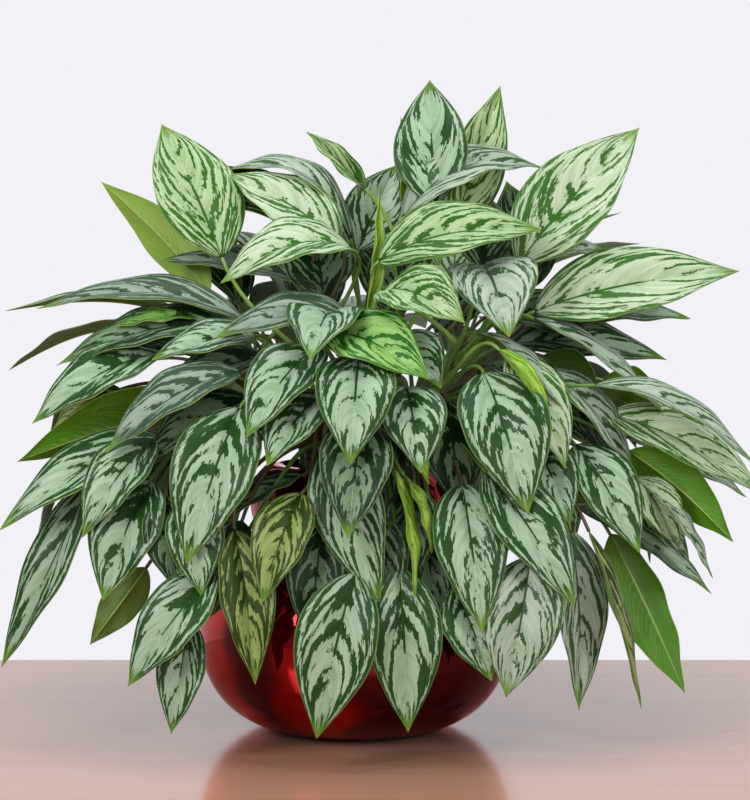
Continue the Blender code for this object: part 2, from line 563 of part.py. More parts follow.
vase = makeVase()
soil = makeSoil([crown[0] for crown, _, _ in plan.values()])
finish(vase, "red_glass", (0.45, 0.0, 0.01), 0.08)
finish(soil, "potting_soil", (0.035, 0.022, 0.014), 0.95)
stems = {name: makeStem(name, crown) for name, (crown, _, _) in plan.items()}
bpy.context.view_layer.update()
standing = [asTest("vase", vase), asTest("soil", soil)]
standing += [asTest(name, stem) for name, stem in stems.items()]
placed = placeLeaves(plan, standing)
for name, stem in stems.items():
    joinLeaves(stem, placed[name])
    finish(stem, "leaf_" + name, (0.10, 0.19, 0.08), 0.4)
    print(name, len(placed[name]), "leaves")
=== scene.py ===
import math

import bpy
import numpy as np
from mathutils.kdtree import KDTree
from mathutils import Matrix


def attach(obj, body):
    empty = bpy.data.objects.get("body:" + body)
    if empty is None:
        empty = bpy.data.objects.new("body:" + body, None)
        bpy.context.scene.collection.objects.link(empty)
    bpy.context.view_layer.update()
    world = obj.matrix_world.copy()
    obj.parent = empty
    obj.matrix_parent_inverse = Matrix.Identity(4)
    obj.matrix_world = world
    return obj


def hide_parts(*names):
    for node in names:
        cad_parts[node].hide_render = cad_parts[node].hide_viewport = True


# A Chinese evergreen in a round red glass vase, dressed over its solids.
# Metres, +Z up, the front looks along -Y. The leaf lists are in centimetres.
cm = 0.01
mm = 0.001

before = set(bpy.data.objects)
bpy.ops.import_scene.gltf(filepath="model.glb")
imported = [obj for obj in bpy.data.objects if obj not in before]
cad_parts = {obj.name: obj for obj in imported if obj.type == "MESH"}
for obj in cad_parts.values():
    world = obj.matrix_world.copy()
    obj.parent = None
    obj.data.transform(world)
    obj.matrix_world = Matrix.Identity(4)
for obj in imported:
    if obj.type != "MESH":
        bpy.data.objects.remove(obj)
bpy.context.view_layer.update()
print("loaded", len(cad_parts), "solids")


# ---- leaves: where they are ----

def leaf(bx, by, bz, tx, ty, tz, width=6.0, face=(0, -6, 8), arch=1.0, bend=0.0, fold=30, tone="mid"):
    # One blade from its base to its tip. face is where its upper side looks, arch and bend how far the midrib
    # bows up and sideways, fold how much the two halves are closed, and tone which colours it has.
    return {
        "base": np.array((bx, by, bz)) * cm,
        "tip": np.array((tx, ty, tz)) * cm,
        "face": np.array(face, float),
        "width": width * cm,
        "arch": arch * cm,
        "bend": bend * cm,
        "fold": math.radians(fold),
        "tone": tone,
    }


canes = {
    # name: foot (distance from the axis, bearing in degrees), crown, leaves
    "cane_top": ((1.9, 25), (4.5, 1.5, 37.0), (
        leaf(6.8, -1, 44.6, 6.4, 4, 55.4, 6.6, face=(-2, -9, 4), arch=0.5),
        leaf(8.2, 3, 42.5, 12.6, 7, 55.0, 5.4, face=(4, -9, 3), arch=0.5, tone="bright"),
        leaf(4.2, 2, 44.2, 3.9, 3, 52.2, 2.8, face=(3, -8, 2), arch=0.2, fold=110, tone="lime"),
        leaf(4.1, 0, 43.5, 16.2, 3, 47.8, 5.4, face=(0, -6, 8), arch=3.0, tone="pale"),
        leaf(0.2, 4, 40.7, 3.6, 8, 48.2, 5.6, face=(1, -9, 4), arch=0.6),
        leaf(0.9, 4, 46.0, -4.3, 6, 51.0, 2.8, face=(-3, -6, 6), arch=0.3, fold=100, tone="bright"),
        leaf(10.8, 1, 39.1, 11.5, 6, 45.5, 5.4, face=(0, -8, 5), arch=0.4, tone="dark"),
        leaf(3.4, 2, 36.0, 4.4, 3, 43.0, 5.6, face=(0, -8, 4), arch=0.4, tone="dark"),
    )),
    "cane_top_left": ((1.9, 165), (-4.0, 0.0, 35.0), (
        leaf(-11.2, -1, 40.1, -16.9, 6, 51.7, 7.6, face=(2, -9, 4), arch=0.6, tone="bright"),
        leaf(-0.3, 0, 41.4, -10.0, 2, 47.3, 6.0, face=(0, -7, 7), arch=0.8, tone="fresh"),
        leaf(-0.3, -2, 40.8, -11.1, -6, 38.0, 6.2, face=(-1, -6, 8), arch=2.0, tone="fresh"),
        leaf(-4.3, 3, 43.1, -15.7, 5, 47.4, 5.6, face=(0, -6, 7), arch=0.8, tone="dark"),
        leaf(-0.4, 4, 41.7, -13.6, 6, 46.8, 4.6, face=(0, -3, 9), arch=4.0, tone="pale"),
        leaf(-12.6, 3, 37.0, -22.2, 6, 46.7, 4.8, face=(-3, 6, 6), arch=0.8, tone="lime"),
        leaf(0.9, -3, 35.0, 2.0, -2, 45.7, 2.4, face=(5, -7, 2), arch=0.2, fold=120, tone="lime"),
        leaf(-2.7, 1, 36.7, -3.6, 5, 43.0, 6.4, face=(0, -8, 5), arch=0.4, tone="dark"),
    )),
    "cane_top_right": ((4.3, 6), (9.5, 0.0, 33.0), (
        leaf(13.8, -1, 39.6, 24.3, 2, 51.2, 7.8, face=(-2, -9, 4), arch=0.8, tone="fresh"),
        leaf(2.0, -4, 39.8, 15.6, -5, 42.5, 6.6, face=(0, -7, 7), arch=1.6, tone="bright"),
        leaf(15.1, -2, 35.6, 32.5, -1, 39.0, 7.2, face=(0, -8, 6), arch=1.2, tone="fresh"),
        leaf(15.3, 0, 35.0, 28.7, 1, 34.9, 5.5, face=(0, -5, 8), arch=0.8),
        leaf(10.6, -3, 39.4, 12.5, -11, 33.8, 7.8, face=(0, -7, 7), arch=1.4, tone="pale"),
        leaf(15.7, 3, 40.1, 21.4, 5, 40.9, 4.2, face=(0, -5, 8), arch=0.5, tone="pale"),
        leaf(15.3, 4, 37.4, 13.2, 7, 46.8, 6.2, face=(0, -8, 5), arch=0.4, tone="dark"),
        leaf(14.9, -4, 35.1, 25.7, -7, 27.2, 5.0, face=(3, -2, 9), arch=0.6, tone="pale"),
        leaf(12.5, 1, 35.5, 20.0, 0, 33.4, 5.6, face=(0, -6, 8), arch=0.8, tone="dark"),
    )),
    "cane_left": ((4.3, 186), (-8.5, -1.5, 30.0), (
        leaf(-9.4, -3, 35.0, -27.0, -1, 35.8, 5.0, face=(0, -4, 9), arch=2.0, tone="grey"),
        leaf(-4.7, 2, 36.5, -17.0, 3, 38.3, 5.0, face=(0, -4, 8), arch=0.8, tone="grey"),
        leaf(-10.9, -4, 34.6, -24.8, -5, 31.2, 5.4, face=(0, -5, 8), arch=1.2, tone="dark"),
        leaf(-16.0, -5, 32.3, -26.4, -8, 26.6, 5.6, face=(-1, -6, 7), arch=1.2),
        leaf(-8.0, -7, 33.8, -16.5, -9, 31.9, 4.6, face=(0, -5, 8), arch=0.6),
        leaf(-13.0, -4, 35.2, -20.0, -5, 34.4, 2.8, face=(0, -4, 9), arch=0.4, tone="plain"),
        leaf(-19.5, -4, 29.2, -25.2, -5, 25.8, 3.2, face=(0, -6, 8), arch=0.4, tone="olive"),
        leaf(-7.5, -6, 32.0, -16.0, -8, 28.3, 5.2, face=(-1, -6, 7), arch=0.8, tone="dark"),
        leaf(-9.5, -1, 33.6, -20.0, -2, 32.6, 5.2, face=(0, -7, 6), arch=0.6, tone="dark"),
    )),
    "cane_left_low": ((4.3, 210), (-8.0, -4.0, 27.5), (
        leaf(-9.1, -9, 30.9, -19.9, -12, 24.6, 5.6, face=(-1, -5, 8), arch=1.4, tone="grey"),
        leaf(-12.4, -4, 27.6, -27.8, -6, 23.4, 6.6, face=(0, 7, 6), arch=0.8, tone="plain"),
        leaf(-15.7, -8, 25.3, -28.7, -11, 18.2, 5.6, face=(-1, -6, 8), arch=1.4),
        leaf(-16.2, -10, 25.5, -21.6, -14, 18.0, 5.4, face=(-2, -7, 6), arch=1.0),
        leaf(-21.6, -8, 22.0, -28.8, -10, 6.8, 4.8, face=(-4, -7, 4), arch=0.8, bend=-0.8),
        leaf(-8.5, -8, 28.6, -17.0, -11, 23.8, 5.4, face=(-1, -6, 7), arch=0.8, tone="dark"),
        leaf(-18.0, -4, 26.5, -26.0, -4, 20.5, 5.4, face=(-1, -5, 8), arch=0.8, tone="dark"),
        leaf(-13.5, -6, 25.5, -18.5, -8, 18.0, 5.2, face=(-1, -8, 5), arch=0.6, tone="dark"),
    )),
    "cane_left_front": ((4.3, 234), (-5.0, -6.0, 28.5), (
        leaf(-9.1, -12, 28.2, -13.1, -17, 16.2, 7.2, face=(-1, -9, 5), arch=1.0),
        leaf(-16.4, -12, 22.3, -19.9, -16, 13.0, 6.4, face=(-2, -9, 5), arch=0.8),
        leaf(-2.9, -10, 33.0, -8.4, -16, 26.1, 6.2, face=(-2, -7, 7), arch=1.0),
        leaf(-2.3, -11, 29.4, -6.8, -17, 24.0, 5.6, face=(-2, -7, 6), arch=0.8),
        leaf(-16.8, -11, 15.2, -21.2, -13, 9.2, 3.4, face=(4, 6, 5), arch=0.4, tone="olive"),
        leaf(-15.0, -12.5, 21.0, -13.8, -15, 13.6, 5.0, face=(1, -8, 4), arch=0.6, tone="dark"),
    )),
    "cane_front_left": ((4.3, 257), (-2.6, -7.0, 26.5), (
        leaf(-13.0, -14, 19.5, -11.9, -17, 12.2, 4.8, face=(1, -9, 4), arch=0.6),
        leaf(-10.9, -15, 15.4, -17.7, -17, 6.7, 5.4, face=(-3, -9, 4), arch=0.8),
        leaf(-13.0, -15, 11.6, -14.4, -16.5, 2.7, 4.0, face=(0, -9, 3), arch=0.5),
        leaf(-8.9, -13.5, 19.3, -11.8, -15.5, 11.5, 4.6, face=(3, -8, 3), arch=0.5, tone="dark"),
        leaf(-9.4, -15, 18.8, -7.7, -17, 6.7, 4.8, face=(3, -8, 3), arch=0.6, tone="olive"),
        leaf(-4.1, -14.5, 20.6, -7.1, -18, 12.4, 5.0, face=(-2, -8, 4), arch=0.8, tone="olive"),
        leaf(-4.2, -10, 22.6, -10.6, -13, 19.0, 3.4, face=(-4, -4, 8), arch=0.4, tone="dark"),
        leaf(-2.5, -14.5, 19.0, -3.5, -16, 10.0, 5.0, face=(0, -9, 3), arch=0.4, tone="dark"),
    )),
    "cane_front": ((1.9, 270), (0.5, -4.5, 31.0), (
        leaf(0.2, -6, 34.8, -11.3, -10, 33.7, 5.4, face=(0, -5, 8), arch=1.4, tone="grey"),
        leaf(-1.7, -6, 35.4, -3.4, -17, 32.4, 6.4, face=(0, -4, 9), arch=1.2),
        leaf(2.4, -7, 37.4, 8.9, -13, 35.0, 6.2, face=(0, -7, 7), arch=1.2, tone="bright"),
        leaf(-2.0, -9, 34.0, 6.0, -15, 30.6, 6.8, face=(1, -7, 7), arch=1.2, tone="grass"),
        leaf(3.0, -8, 33.6, 7.0, -13, 29.8, 5.2, face=(2, -7, 6), arch=0.8),
        leaf(0.4, -12, 32.2, -0.2, -18, 24.2, 6.6, face=(0, -8, 6), arch=1.2),
        leaf(4.1, -12, 29.9, 5.3, -17, 23.4, 5.6, face=(1, -8, 5), arch=0.8),
        leaf(0.6, -13.5, 27.2, -0.4, -19.2, 18.6, 6.0, face=(0, -8, 5), arch=0.8, tone="dark"),
    )),
    "cane_front_low": ((4.3, 281), (1.8, -7.0, 26.5), (
        leaf(0.1, -17, 15.6, -2.9, -18, 2.6, 6.8, face=(-1, -9, 3), arch=0.8),
        leaf(3.6, -16, 15.9, 4.3, -17, 2.9, 6.2, face=(1, -9, 3), arch=0.6),
        leaf(2.0, -14.5, 19.9, 2.0, -16, 12.0, 5.0, face=(0, -9, 3), arch=0.4, tone="dark"),
        leaf(-3.4, -12.5, 25.2, 0.6, -17.5, 13.2, 6.0, face=(-2, -9, 4), arch=0.8),
        leaf(2.6, -12, 27.6, 6.0, -15, 22.3, 3.8, face=(7, -2, 5), arch=0.3, tone="lime"),
        leaf(3.2, -15, 23.6, 4.8, -17.5, 13.6, 3.0, face=(9, -3, 2), arch=0.4, tone="lime"),
        leaf(4.0, -14, 23.0, 6.2, -16, 17.0, 3.0, face=(9, -3, 3), arch=0.3, tone="lime"),
        leaf(4.8, -12.5, 22.0, 4.2, -14.5, 14.0, 4.8, face=(0, -9, 4), arch=0.4, tone="dark"),
        leaf(2.2, -9.5, 27.0, 2.0, -12, 18.5, 5.4, face=(0, -9, 3), arch=0.4, tone="dark"),
    )),
    "cane_right_front": ((4.3, 304), (5.6, -5.6, 28.5), (
        leaf(10.5, -10, 30.9, 13.8, -15.5, 20.0, 7.6, face=(1, -9, 5), arch=1.0),
        leaf(12.7, -7, 32.3, 17.0, -12, 23.2, 5.6, face=(4, -7, 4), arch=0.8, tone="fresh"),
        leaf(10.0, -7, 34.0, 16.9, -10, 27.9, 4.4, face=(5, -2, 7), arch=0.8, tone="pale"),
        leaf(7.2, -12, 22.1, 8.6, -18, 11.0, 6.2, face=(0, -9, 4), arch=1.0),
        leaf(10.6, -12.5, 22.1, 17.4, -17, 11.9, 6.0, face=(2, -9, 5), arch=1.0),
        leaf(14.0, -15, 16.6, 12.0, -17, 5.7, 6.6, face=(1, -9, 3), arch=0.8, tone="pale"),
        leaf(8.0, -15, 14.2, 10.9, -17, 7.0, 5.0, face=(1, -9, 3), arch=0.6),
        leaf(5.5, -13.5, 19.5, 6.8, -16, 10.5, 5.0, face=(0, -9, 3), arch=0.4, tone="dark"),
        leaf(11.7, -10.5, 32.8, 15.9, -13, 26.4, 2.6, face=(6, -7, 3), arch=0.3, fold=100, tone="lime"),
        leaf(7.6, -8.5, 28.5, 8.6, -11, 20.0, 6.0, face=(0, -9, 3), arch=0.4, tone="dark"),
    )),
    "cane_right": ((4.3, 342), (10.0, -2.5, 30.0), (
        leaf(13.2, 0, 32.7, 26.6, -1, 31.4, 5.6, face=(0, -6, 8), arch=1.0),
        leaf(19.6, -7, 29.8, 32.8, -8, 23.2, 3.8, face=(1, -4, 9), arch=1.8, tone="pale"),
        leaf(20.5, -3, 29.5, 26.0, -1, 27.5, 4.6, face=(0, 6, 6), arch=0.6, tone="plain"),
        leaf(20.9, -6, 27.2, 33.4, -9, 20.9, 6.0, face=(1, -6, 7), arch=1.2, tone="fresh"),
        leaf(15.9, -6, 31.0, 22.8, -9, 22.6, 5.0, face=(4, -4, 6), arch=0.8, tone="pale"),
        leaf(15.4, -3, 31.7, 20.5, -3, 27.4, 5.0, face=(2, 6, 5), arch=0.6, tone="dark"),
        leaf(23.0, -2, 25.0, 33.0, -3, 20.0, 3.6, face=(1, -5, 8), arch=0.8, tone="pale"),
        leaf(11.0, -5, 33.2, 18.5, -8, 29.3, 5.4, face=(1, -5, 8), arch=0.8, tone="dark"),
        leaf(16.5, -3.5, 29.0, 22.0, -5, 23.5, 5.4, face=(1, -7, 6), arch=0.6, tone="dark"),
    )),
    "cane_right_low": ((4.3, 323), (9.0, -5.0, 27.5), (
        leaf(14.6, -8, 25.1, 17.2, -14, 19.0, 4.8, face=(2, -8, 5), arch=0.6),
        leaf(18.1, -8, 25.4, 23.0, -12.5, 17.0, 5.6, face=(2, -8, 5), arch=0.8),
        leaf(22.6, -6, 24.3, 31.0, -8, 17.0, 4.6, face=(-3, 6, 6), arch=0.8, tone="plain"),
        leaf(23.9, -8, 21.4, 29.2, -10, 14.1, 3.2, face=(6, -3, 5), arch=0.8, bend=0.6, tone="pale"),
        leaf(23.1, -8, 22.7, 26.6, -9, 17.0, 4.2, face=(2, -6, 4), arch=0.5, tone="fresh"),
        leaf(23.0, -4, 19.9, 27.8, -6, 15.1, 4.0, face=(1, -5, 6), arch=0.5),
        leaf(18.2, -6, 19.8, 29.6, -7, 12.4, 4.6, face=(2, -4, 7), arch=0.8),
        leaf(21.1, -7, 17.4, 27.0, -10, 4.7, 5.8, face=(-5, 6, 3), arch=0.8, bend=0.8, tone="plain"),
        leaf(17.3, -13, 18.5, 18.0, -14, 4.1, 5.2, face=(5, -7, 2), arch=0.6, tone="pale"),
        leaf(18.8, -13, 18.4, 23.0, -14, 4.2, 3.4, face=(8, -3, 3), arch=0.6, bend=1.0, tone="olive"),
        leaf(14.5, -10.5, 22.0, 17.0, -13, 15.8, 5.0, face=(1, -7, 6), arch=0.6, tone="dark"),
    )),
}

# canes at the back: foot, crown, bearing that the cane looks to, leaves, seed
backCanes = {
    "cane_back_right": ((4.3, 35), (8.0, 4.5, 30.0), 36, 10, 3),
    "cane_back_middle_right": ((4.3, 68), (4.5, 7.5, 27.0), 64, 11, 5),
    "cane_back_top": ((1.9, 95), (0.5, 4.0, 34.0), 92, 10, 8),
    "cane_back_middle_left": ((4.3, 110), (-3.5, 7.5, 27.5), 116, 11, 13),
    "cane_back_left": ((4.3, 145), (-8.0, 4.5, 29.5), 144, 10, 21),
}
# the back leaves' tones in turn; dark is painted shade, pale painted sheen and bright painted light
backTones = ("mid", "dark", "mid", "fresh", "pale", "mid", "dark", "mid", "bright")
goldenTurn = math.radians(137.5)


def backLeaves(crown, bearing, count, seed):
    # They turn by the golden angle within 50 degrees of the bearing; the first stand up, the last hang down.
    rng = np.random.default_rng(seed)
    made = []
    for i in range(count):
        share = i / (count - 1)
        turn = math.radians(bearing + 50 * math.sin(goldenTurn * (i + 0.5)) + rng.uniform(-8, 8))
        rise = math.radians(72 - 92 * share + rng.uniform(-6, 6))
        fall = rise - math.radians(28 + 22 * share)
        out = np.array((math.cos(turn), math.sin(turn), 0.0))
        stalk = (7.5 + 5.5 * share + rng.uniform(-1, 1)) * cm
        length = (13.5 + rng.uniform(-1.5, 2.0)) * cm
        base = np.array(crown) * cm + stalk * (out * math.cos(rise) + np.array((0, 0, math.sin(rise))))
        tip = base + length * (out * math.cos(fall) + np.array((0, 0, math.sin(fall))))
        tip[2] = min(max(tip[2], 5 * cm), 45 * cm)
        made.append({
            "base": base, "tip": tip, "face": out * 5 + np.array((0, 0, 8.0)), "width": length * 0.45,
            "arch": 1.2 * cm, "bend": rng.uniform(-0.6, 0.6) * cm, "fold": math.radians(30),
            "tone": backTones[(i * 2 + seed) % len(backTones)],
        })
    return tuple(made)


# ---- leaves: their curves, the same as the solids' ----

stalkSizes = {"root": 2.2 * mm, "end": 1.5 * mm, "solidBlade": 0.8 * mm, "straight": 23 * cm}


def unit(v):
    return v / np.linalg.norm(v, axis=-1, keepdims=True)


def midrib(one, t):
    # base + chord t + (arch up + bend side) sin(pi t^0.85), with its side, its normal and its direction
    t = np.asarray(t, float)[:, None]
    chord = one["tip"] - one["base"]
    along = unit(chord)
    up = unit(one["face"] - along * (one["face"] @ along))
    side = np.cross(along, up)
    bow = one["arch"] * up + one["bend"] * side
    middle = one["base"] + chord * t + bow * np.sin(np.pi * t**0.85)
    near = np.maximum(t, 0.02)
    along = unit(chord + bow * (np.pi * 0.85 * near**-0.15 * np.cos(np.pi * near**0.85)))
    side = unit(side - along * (side * along).sum(1, keepdims=True))
    return middle, side, np.cross(side, along), along


def halfWidth(one, t):
    # w/2 t^0.75 (1 - t)^1.2, scaled so that its highest value is half the width
    return one["width"] * 0.5 * t**0.75 * (1 - t) ** 1.2 / 0.2725


def caneHeight(crown, share):
    # a quadratic Bezier curve from the top of the straight foot to the crown
    foot, top = crown
    share = np.asarray(share, float)[..., None]
    first = np.array((foot[0], foot[1], stalkSizes["straight"]))
    second = first + np.array((0, 0, (top[2] - first[2]) * 0.55))
    point = first * (1 - share) ** 2 + second * 2 * share * (1 - share) + top * share**2
    return point, unit((second - first) * (1 - share) + (top - second) * share)


def stalkCurve(one, root, rootAlong, sway):
    # four Bezier corners from the cane to the blade's base, with the middle two moved sideways by sway
    _, side, _, along = (row[0] for row in midrib(one, [0.0]))
    reach = np.linalg.norm(one["base"] - root)
    outward = (one["base"] - root) * (1, 1, 0)
    start = unit(rootAlong * 0.7 + outward / reach)
    second = root + start * reach * 0.4 + side * sway
    third = one["base"] - along * reach * 0.35 + side * sway
    return root, second, third, one["base"]


def onCurve(corners, t):
    a, b, c, d = corners
    t = np.asarray(t, float)[:, None]
    point = a * (1 - t) ** 3 + b * 3 * t * (1 - t) ** 2 + c * 3 * t * t * (1 - t) + d * t**3
    return point, unit((b - a) * (1 - t) ** 2 + (c - b) * 2 * t * (1 - t) + (d - c) * t * t)


def shifts():
    # the shifts that the solids' leaves may have been bent clear by, with the size of each
    yield np.zeros(3), 0.0
    for size in (0.5, 1.0, 1.5, 2.0, 2.6, 3.2, 4.0):
        for pull in ((0, -1, 0), (0, 1, 0), (0, 0, 1), (0, 0, -1), (1, 0, 0), (-1, 0, 0)):
            yield np.array(pull) * size * cm, size * cm


def bladeCorners(one):
    # the solid leaf's own corners: its tip and two rings of its blade
    stations = np.array((0.42, 0.74))
    middle, side, normal, _ = midrib(one, stations)
    half = halfWidth(one, stations)[:, None]
    lift, spread = math.sin(one["fold"] / 2), math.cos(one["fold"] / 2)
    thick = stalkSizes["solidBlade"] / 2
    found = [one["tip"][None]]
    for hand in (-1, 1):
        edge = middle + half * (normal * lift + side * spread * hand)
        off = (normal * spread - side * lift * hand) * thick
        found += [edge + off, edge - off]
    rib = normal * thick / max(spread, 0.5)
    return np.concatenate([*found, middle + rib, middle - rib])


def stalkCorners(one, curve):
    # the three corners halfway along the solid leaf's stalk
    point, along = onCurve(curve, [0.5])
    _, side, _, _ = midrib(one, [0.0])
    side = unit(side - along * (side * along).sum(1, keepdims=True))
    radius = (stalkSizes["root"] + stalkSizes["end"]) / 2
    low = np.cross(side, along) * radius
    wide = side * radius * 1.1
    return np.concatenate([point - wide + low * 0.6, point + wide + low * 0.6, point - low * 1.2])


def settled(crown, leaves, solid):
    # Each leaf as the solid has it: the shift whose corners most often meet corners of the solid, then the
    # sway of the stalk that does. A leaf that meets none was left out of the solid.
    tree = KDTree(len(solid.data.vertices))
    for i, vertex in enumerate(solid.data.vertices):
        tree.insert(solid.matrix_world @ vertex.co, i)
    tree.balance()

    def hits(points):
        return sum(tree.find(point)[2] < 0.05 * mm for point in points)

    made = []
    order = sorted(range(len(leaves)), key=lambda i: leaves[i]["base"][2])
    for rank, i in enumerate(order):
        tried = []
        for shift, size in shifts():
            moved = dict(leaves[i], base=leaves[i]["base"] + shift, tip=leaves[i]["tip"] + shift)
            tried.append((hits(bladeCorners(moved)), -size, moved))
        best, size, moved = max(tried, key=lambda one: one[:2])
        if best < 4:
            continue
        root, rootAlong = caneHeight(crown, 0.3 + 0.7 * rank / (len(leaves) - 1))
        curves = [stalkCurve(moved, root, rootAlong, sway) for sway in (0, -size, size)]
        made.append((moved, max(curves, key=lambda curve: hits(stalkCorners(moved, curve)))))
    return made


# ---- skins: rings of points made into meshes ----

def skin(rings, first, last, columns=None, **facts):
    # Rings in order, each turning left handed about the way they run, with one point closing each end.
    # columns gives a material index to each step around, and facts a value to each point of the rings.
    count, around = rings.shape[:2]
    index = np.arange(count * around).reshape(count, around)
    after = np.roll(index, -1, 1)
    start, end = count * around, count * around + 1
    columns = np.zeros(around, int) if columns is None else columns
    made = {
        "points": np.concatenate([rings.reshape(-1, 3), first[None], last[None]]),
        "quads": np.stack([index[:-1], after[:-1], after[1:], index[1:]], -1).reshape(-1, 4),
        "tris": np.concatenate([
            np.stack([np.full(around, start), after[0], index[0]], -1),
            np.stack([index[-1], after[-1], np.full(around, end)], -1),
        ]),
        "quadLooks": np.tile(columns, count - 1),
        "triLooks": np.tile(columns, 2),
    }
    for key, value in facts.items():
        value = np.broadcast_to(value, (count, around, np.shape(value)[-1]))
        ends = np.stack([value[0].mean(0), value[-1].mean(0)])
        made[key] = np.concatenate([value.reshape(-1, value.shape[-1]), ends])
    return made


def together(skins):
    starts = np.cumsum([0] + [len(one["points"]) for one in skins[:-1]])
    flat = [key for key in skins[0] if key not in ("quads", "tris")]
    made = {key: np.concatenate([one[key] for one in skins]) for key in flat}
    for key in ("quads", "tris"):
        made[key] = np.concatenate([one[key] + start for one, start in zip(skins, starts)])
    return made


def piece(name, made, materials, *nodes, slot="leaf"):
    quads, tris = made["quads"], made["tris"]
    mesh = bpy.data.meshes.new(name)
    mesh.vertices.add(len(made["points"]))
    mesh.loops.add(quads.size + tris.size)
    mesh.polygons.add(len(quads) + len(tris))
    mesh.vertices.foreach_set("co", made["points"].astype(np.float32).ravel())
    mesh.loops.foreach_set("vertex_index", np.concatenate([quads.ravel(), tris.ravel()]).astype(np.int32))
    sizes = np.concatenate([np.full(len(quads), 4), np.full(len(tris), 3)])
    mesh.polygons.foreach_set("loop_start", np.concatenate([[0], np.cumsum(sizes)[:-1]]).astype(np.int32))
    looks = np.concatenate([made["quadLooks"], made["triLooks"]])
    mesh.polygons.foreach_set("material_index", looks.astype(np.int32))
    mesh.update(calc_edges=True)
    for key, kind in (("place", "FLOAT_VECTOR"), ("light", "FLOAT_COLOR"), ("dark", "FLOAT_COLOR")):
        if key in made:
            values = made[key]
            if kind == "FLOAT_COLOR":
                values = np.concatenate([values, np.ones((len(values), 1))], 1)
            layer = mesh.attributes.new(key, kind, "POINT")
            field = "vector" if kind == "FLOAT_VECTOR" else "color"
            layer.data.foreach_set(field, values.astype(np.float32).ravel())
    mesh.shade_smooth()
    for material in materials:
        mesh.materials.append(material)
    item = bpy.data.objects.new(name, mesh)
    bpy.context.scene.collection.objects.link(item)
    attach(item, "root")
    if nodes:
        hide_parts(*nodes)


# ---- colours and shader nodes ----

def colour(red, green, blue):
    # 0 to 255 as seen on a screen, made linear
    share = np.array((red, green, blue)) / 255
    return tuple(np.where(share <= 0.04045, share / 12.92, ((share + 0.055) / 1.055) ** 2.4))


def fill(tree, socket, value):
    if isinstance(value, bpy.types.NodeSocket):
        tree.links.new(value, socket)
    elif value is not None:
        socket.default_value = value


def maths(tree, operation, first, second=None, third=None):
    node = tree.nodes.new("ShaderNodeMath")
    node.operation = operation
    for socket, value in zip(node.inputs, (first, second, third)):
        fill(tree, socket, value)
    return node.outputs[0]


def times(tree, first, second):
    return maths(tree, "MULTIPLY", first, second)


def scaled(tree, value, factor, added):
    # value times factor plus added
    return maths(tree, "MULTIPLY_ADD", value, factor, added)


def step(tree, value, low, high):
    # a smooth rise from 0 at low to 1 at high, or a fall where low is the higher one
    node = tree.nodes.new("ShaderNodeMapRange")
    node.interpolation_type = "SMOOTHSTEP"
    for socket, given in zip(node.inputs, (value, low, high)):
        fill(tree, socket, given)
    return node.outputs[0]


def blend(tree, share, first, second, way="MIX"):
    node = tree.nodes.new("ShaderNodeMix")
    node.data_type = "RGBA"
    node.blend_type = way
    node.clamp_result = True
    fill(tree, node.inputs["Factor"], share)
    for socket, given in ((node.inputs[6], first), (node.inputs[7], second)):
        fill(tree, socket, (*given, 1) if isinstance(given, tuple) else given)
    return node.outputs[2]


def vector(tree, x, y, z):
    node = tree.nodes.new("ShaderNodeCombineXYZ")
    for socket, given in zip(node.inputs, (x, y, z)):
        fill(tree, socket, given)
    return node.outputs[0]


def noise(tree, where, scale, detail=2.0, roughness=0.5, distortion=0.0):
    node = tree.nodes.new("ShaderNodeTexNoise")
    fill(tree, node.inputs["Vector"], where)
    given = {"Scale": scale, "Detail": detail, "Roughness": roughness, "Distortion": distortion}
    for key, value in given.items():
        node.inputs[key].default_value = value
    return node.outputs["Fac"]


def attribute(tree, name):
    node = tree.nodes.new("ShaderNodeAttribute")
    node.attribute_name = name
    return node


def objectPlace(tree):
    return tree.nodes.new("ShaderNodeTexCoord").outputs["Object"]


def surface(tree, shader, base, height, distance, strength):
    # the base colour, and a bump of that height
    tree.links.new(base, shader.inputs["Base Color"])
    node = tree.nodes.new("ShaderNodeBump")
    node.inputs["Strength"].default_value = strength
    node.inputs["Distance"].default_value = distance
    fill(tree, node.inputs["Height"], height)
    tree.links.new(node.outputs["Normal"], shader.inputs["Normal"])


def material(name, roughness, **sockets):
    made = bpy.data.materials.new(name)
    made.use_nodes = True
    shader = made.node_tree.nodes["Principled BSDF"]
    shader.inputs["Roughness"].default_value = roughness
    for key, value in sockets.items():
        shader.inputs[key.replace("_", " ")].default_value = value
    return made, made.node_tree, shader


# ---- leaf blades ----

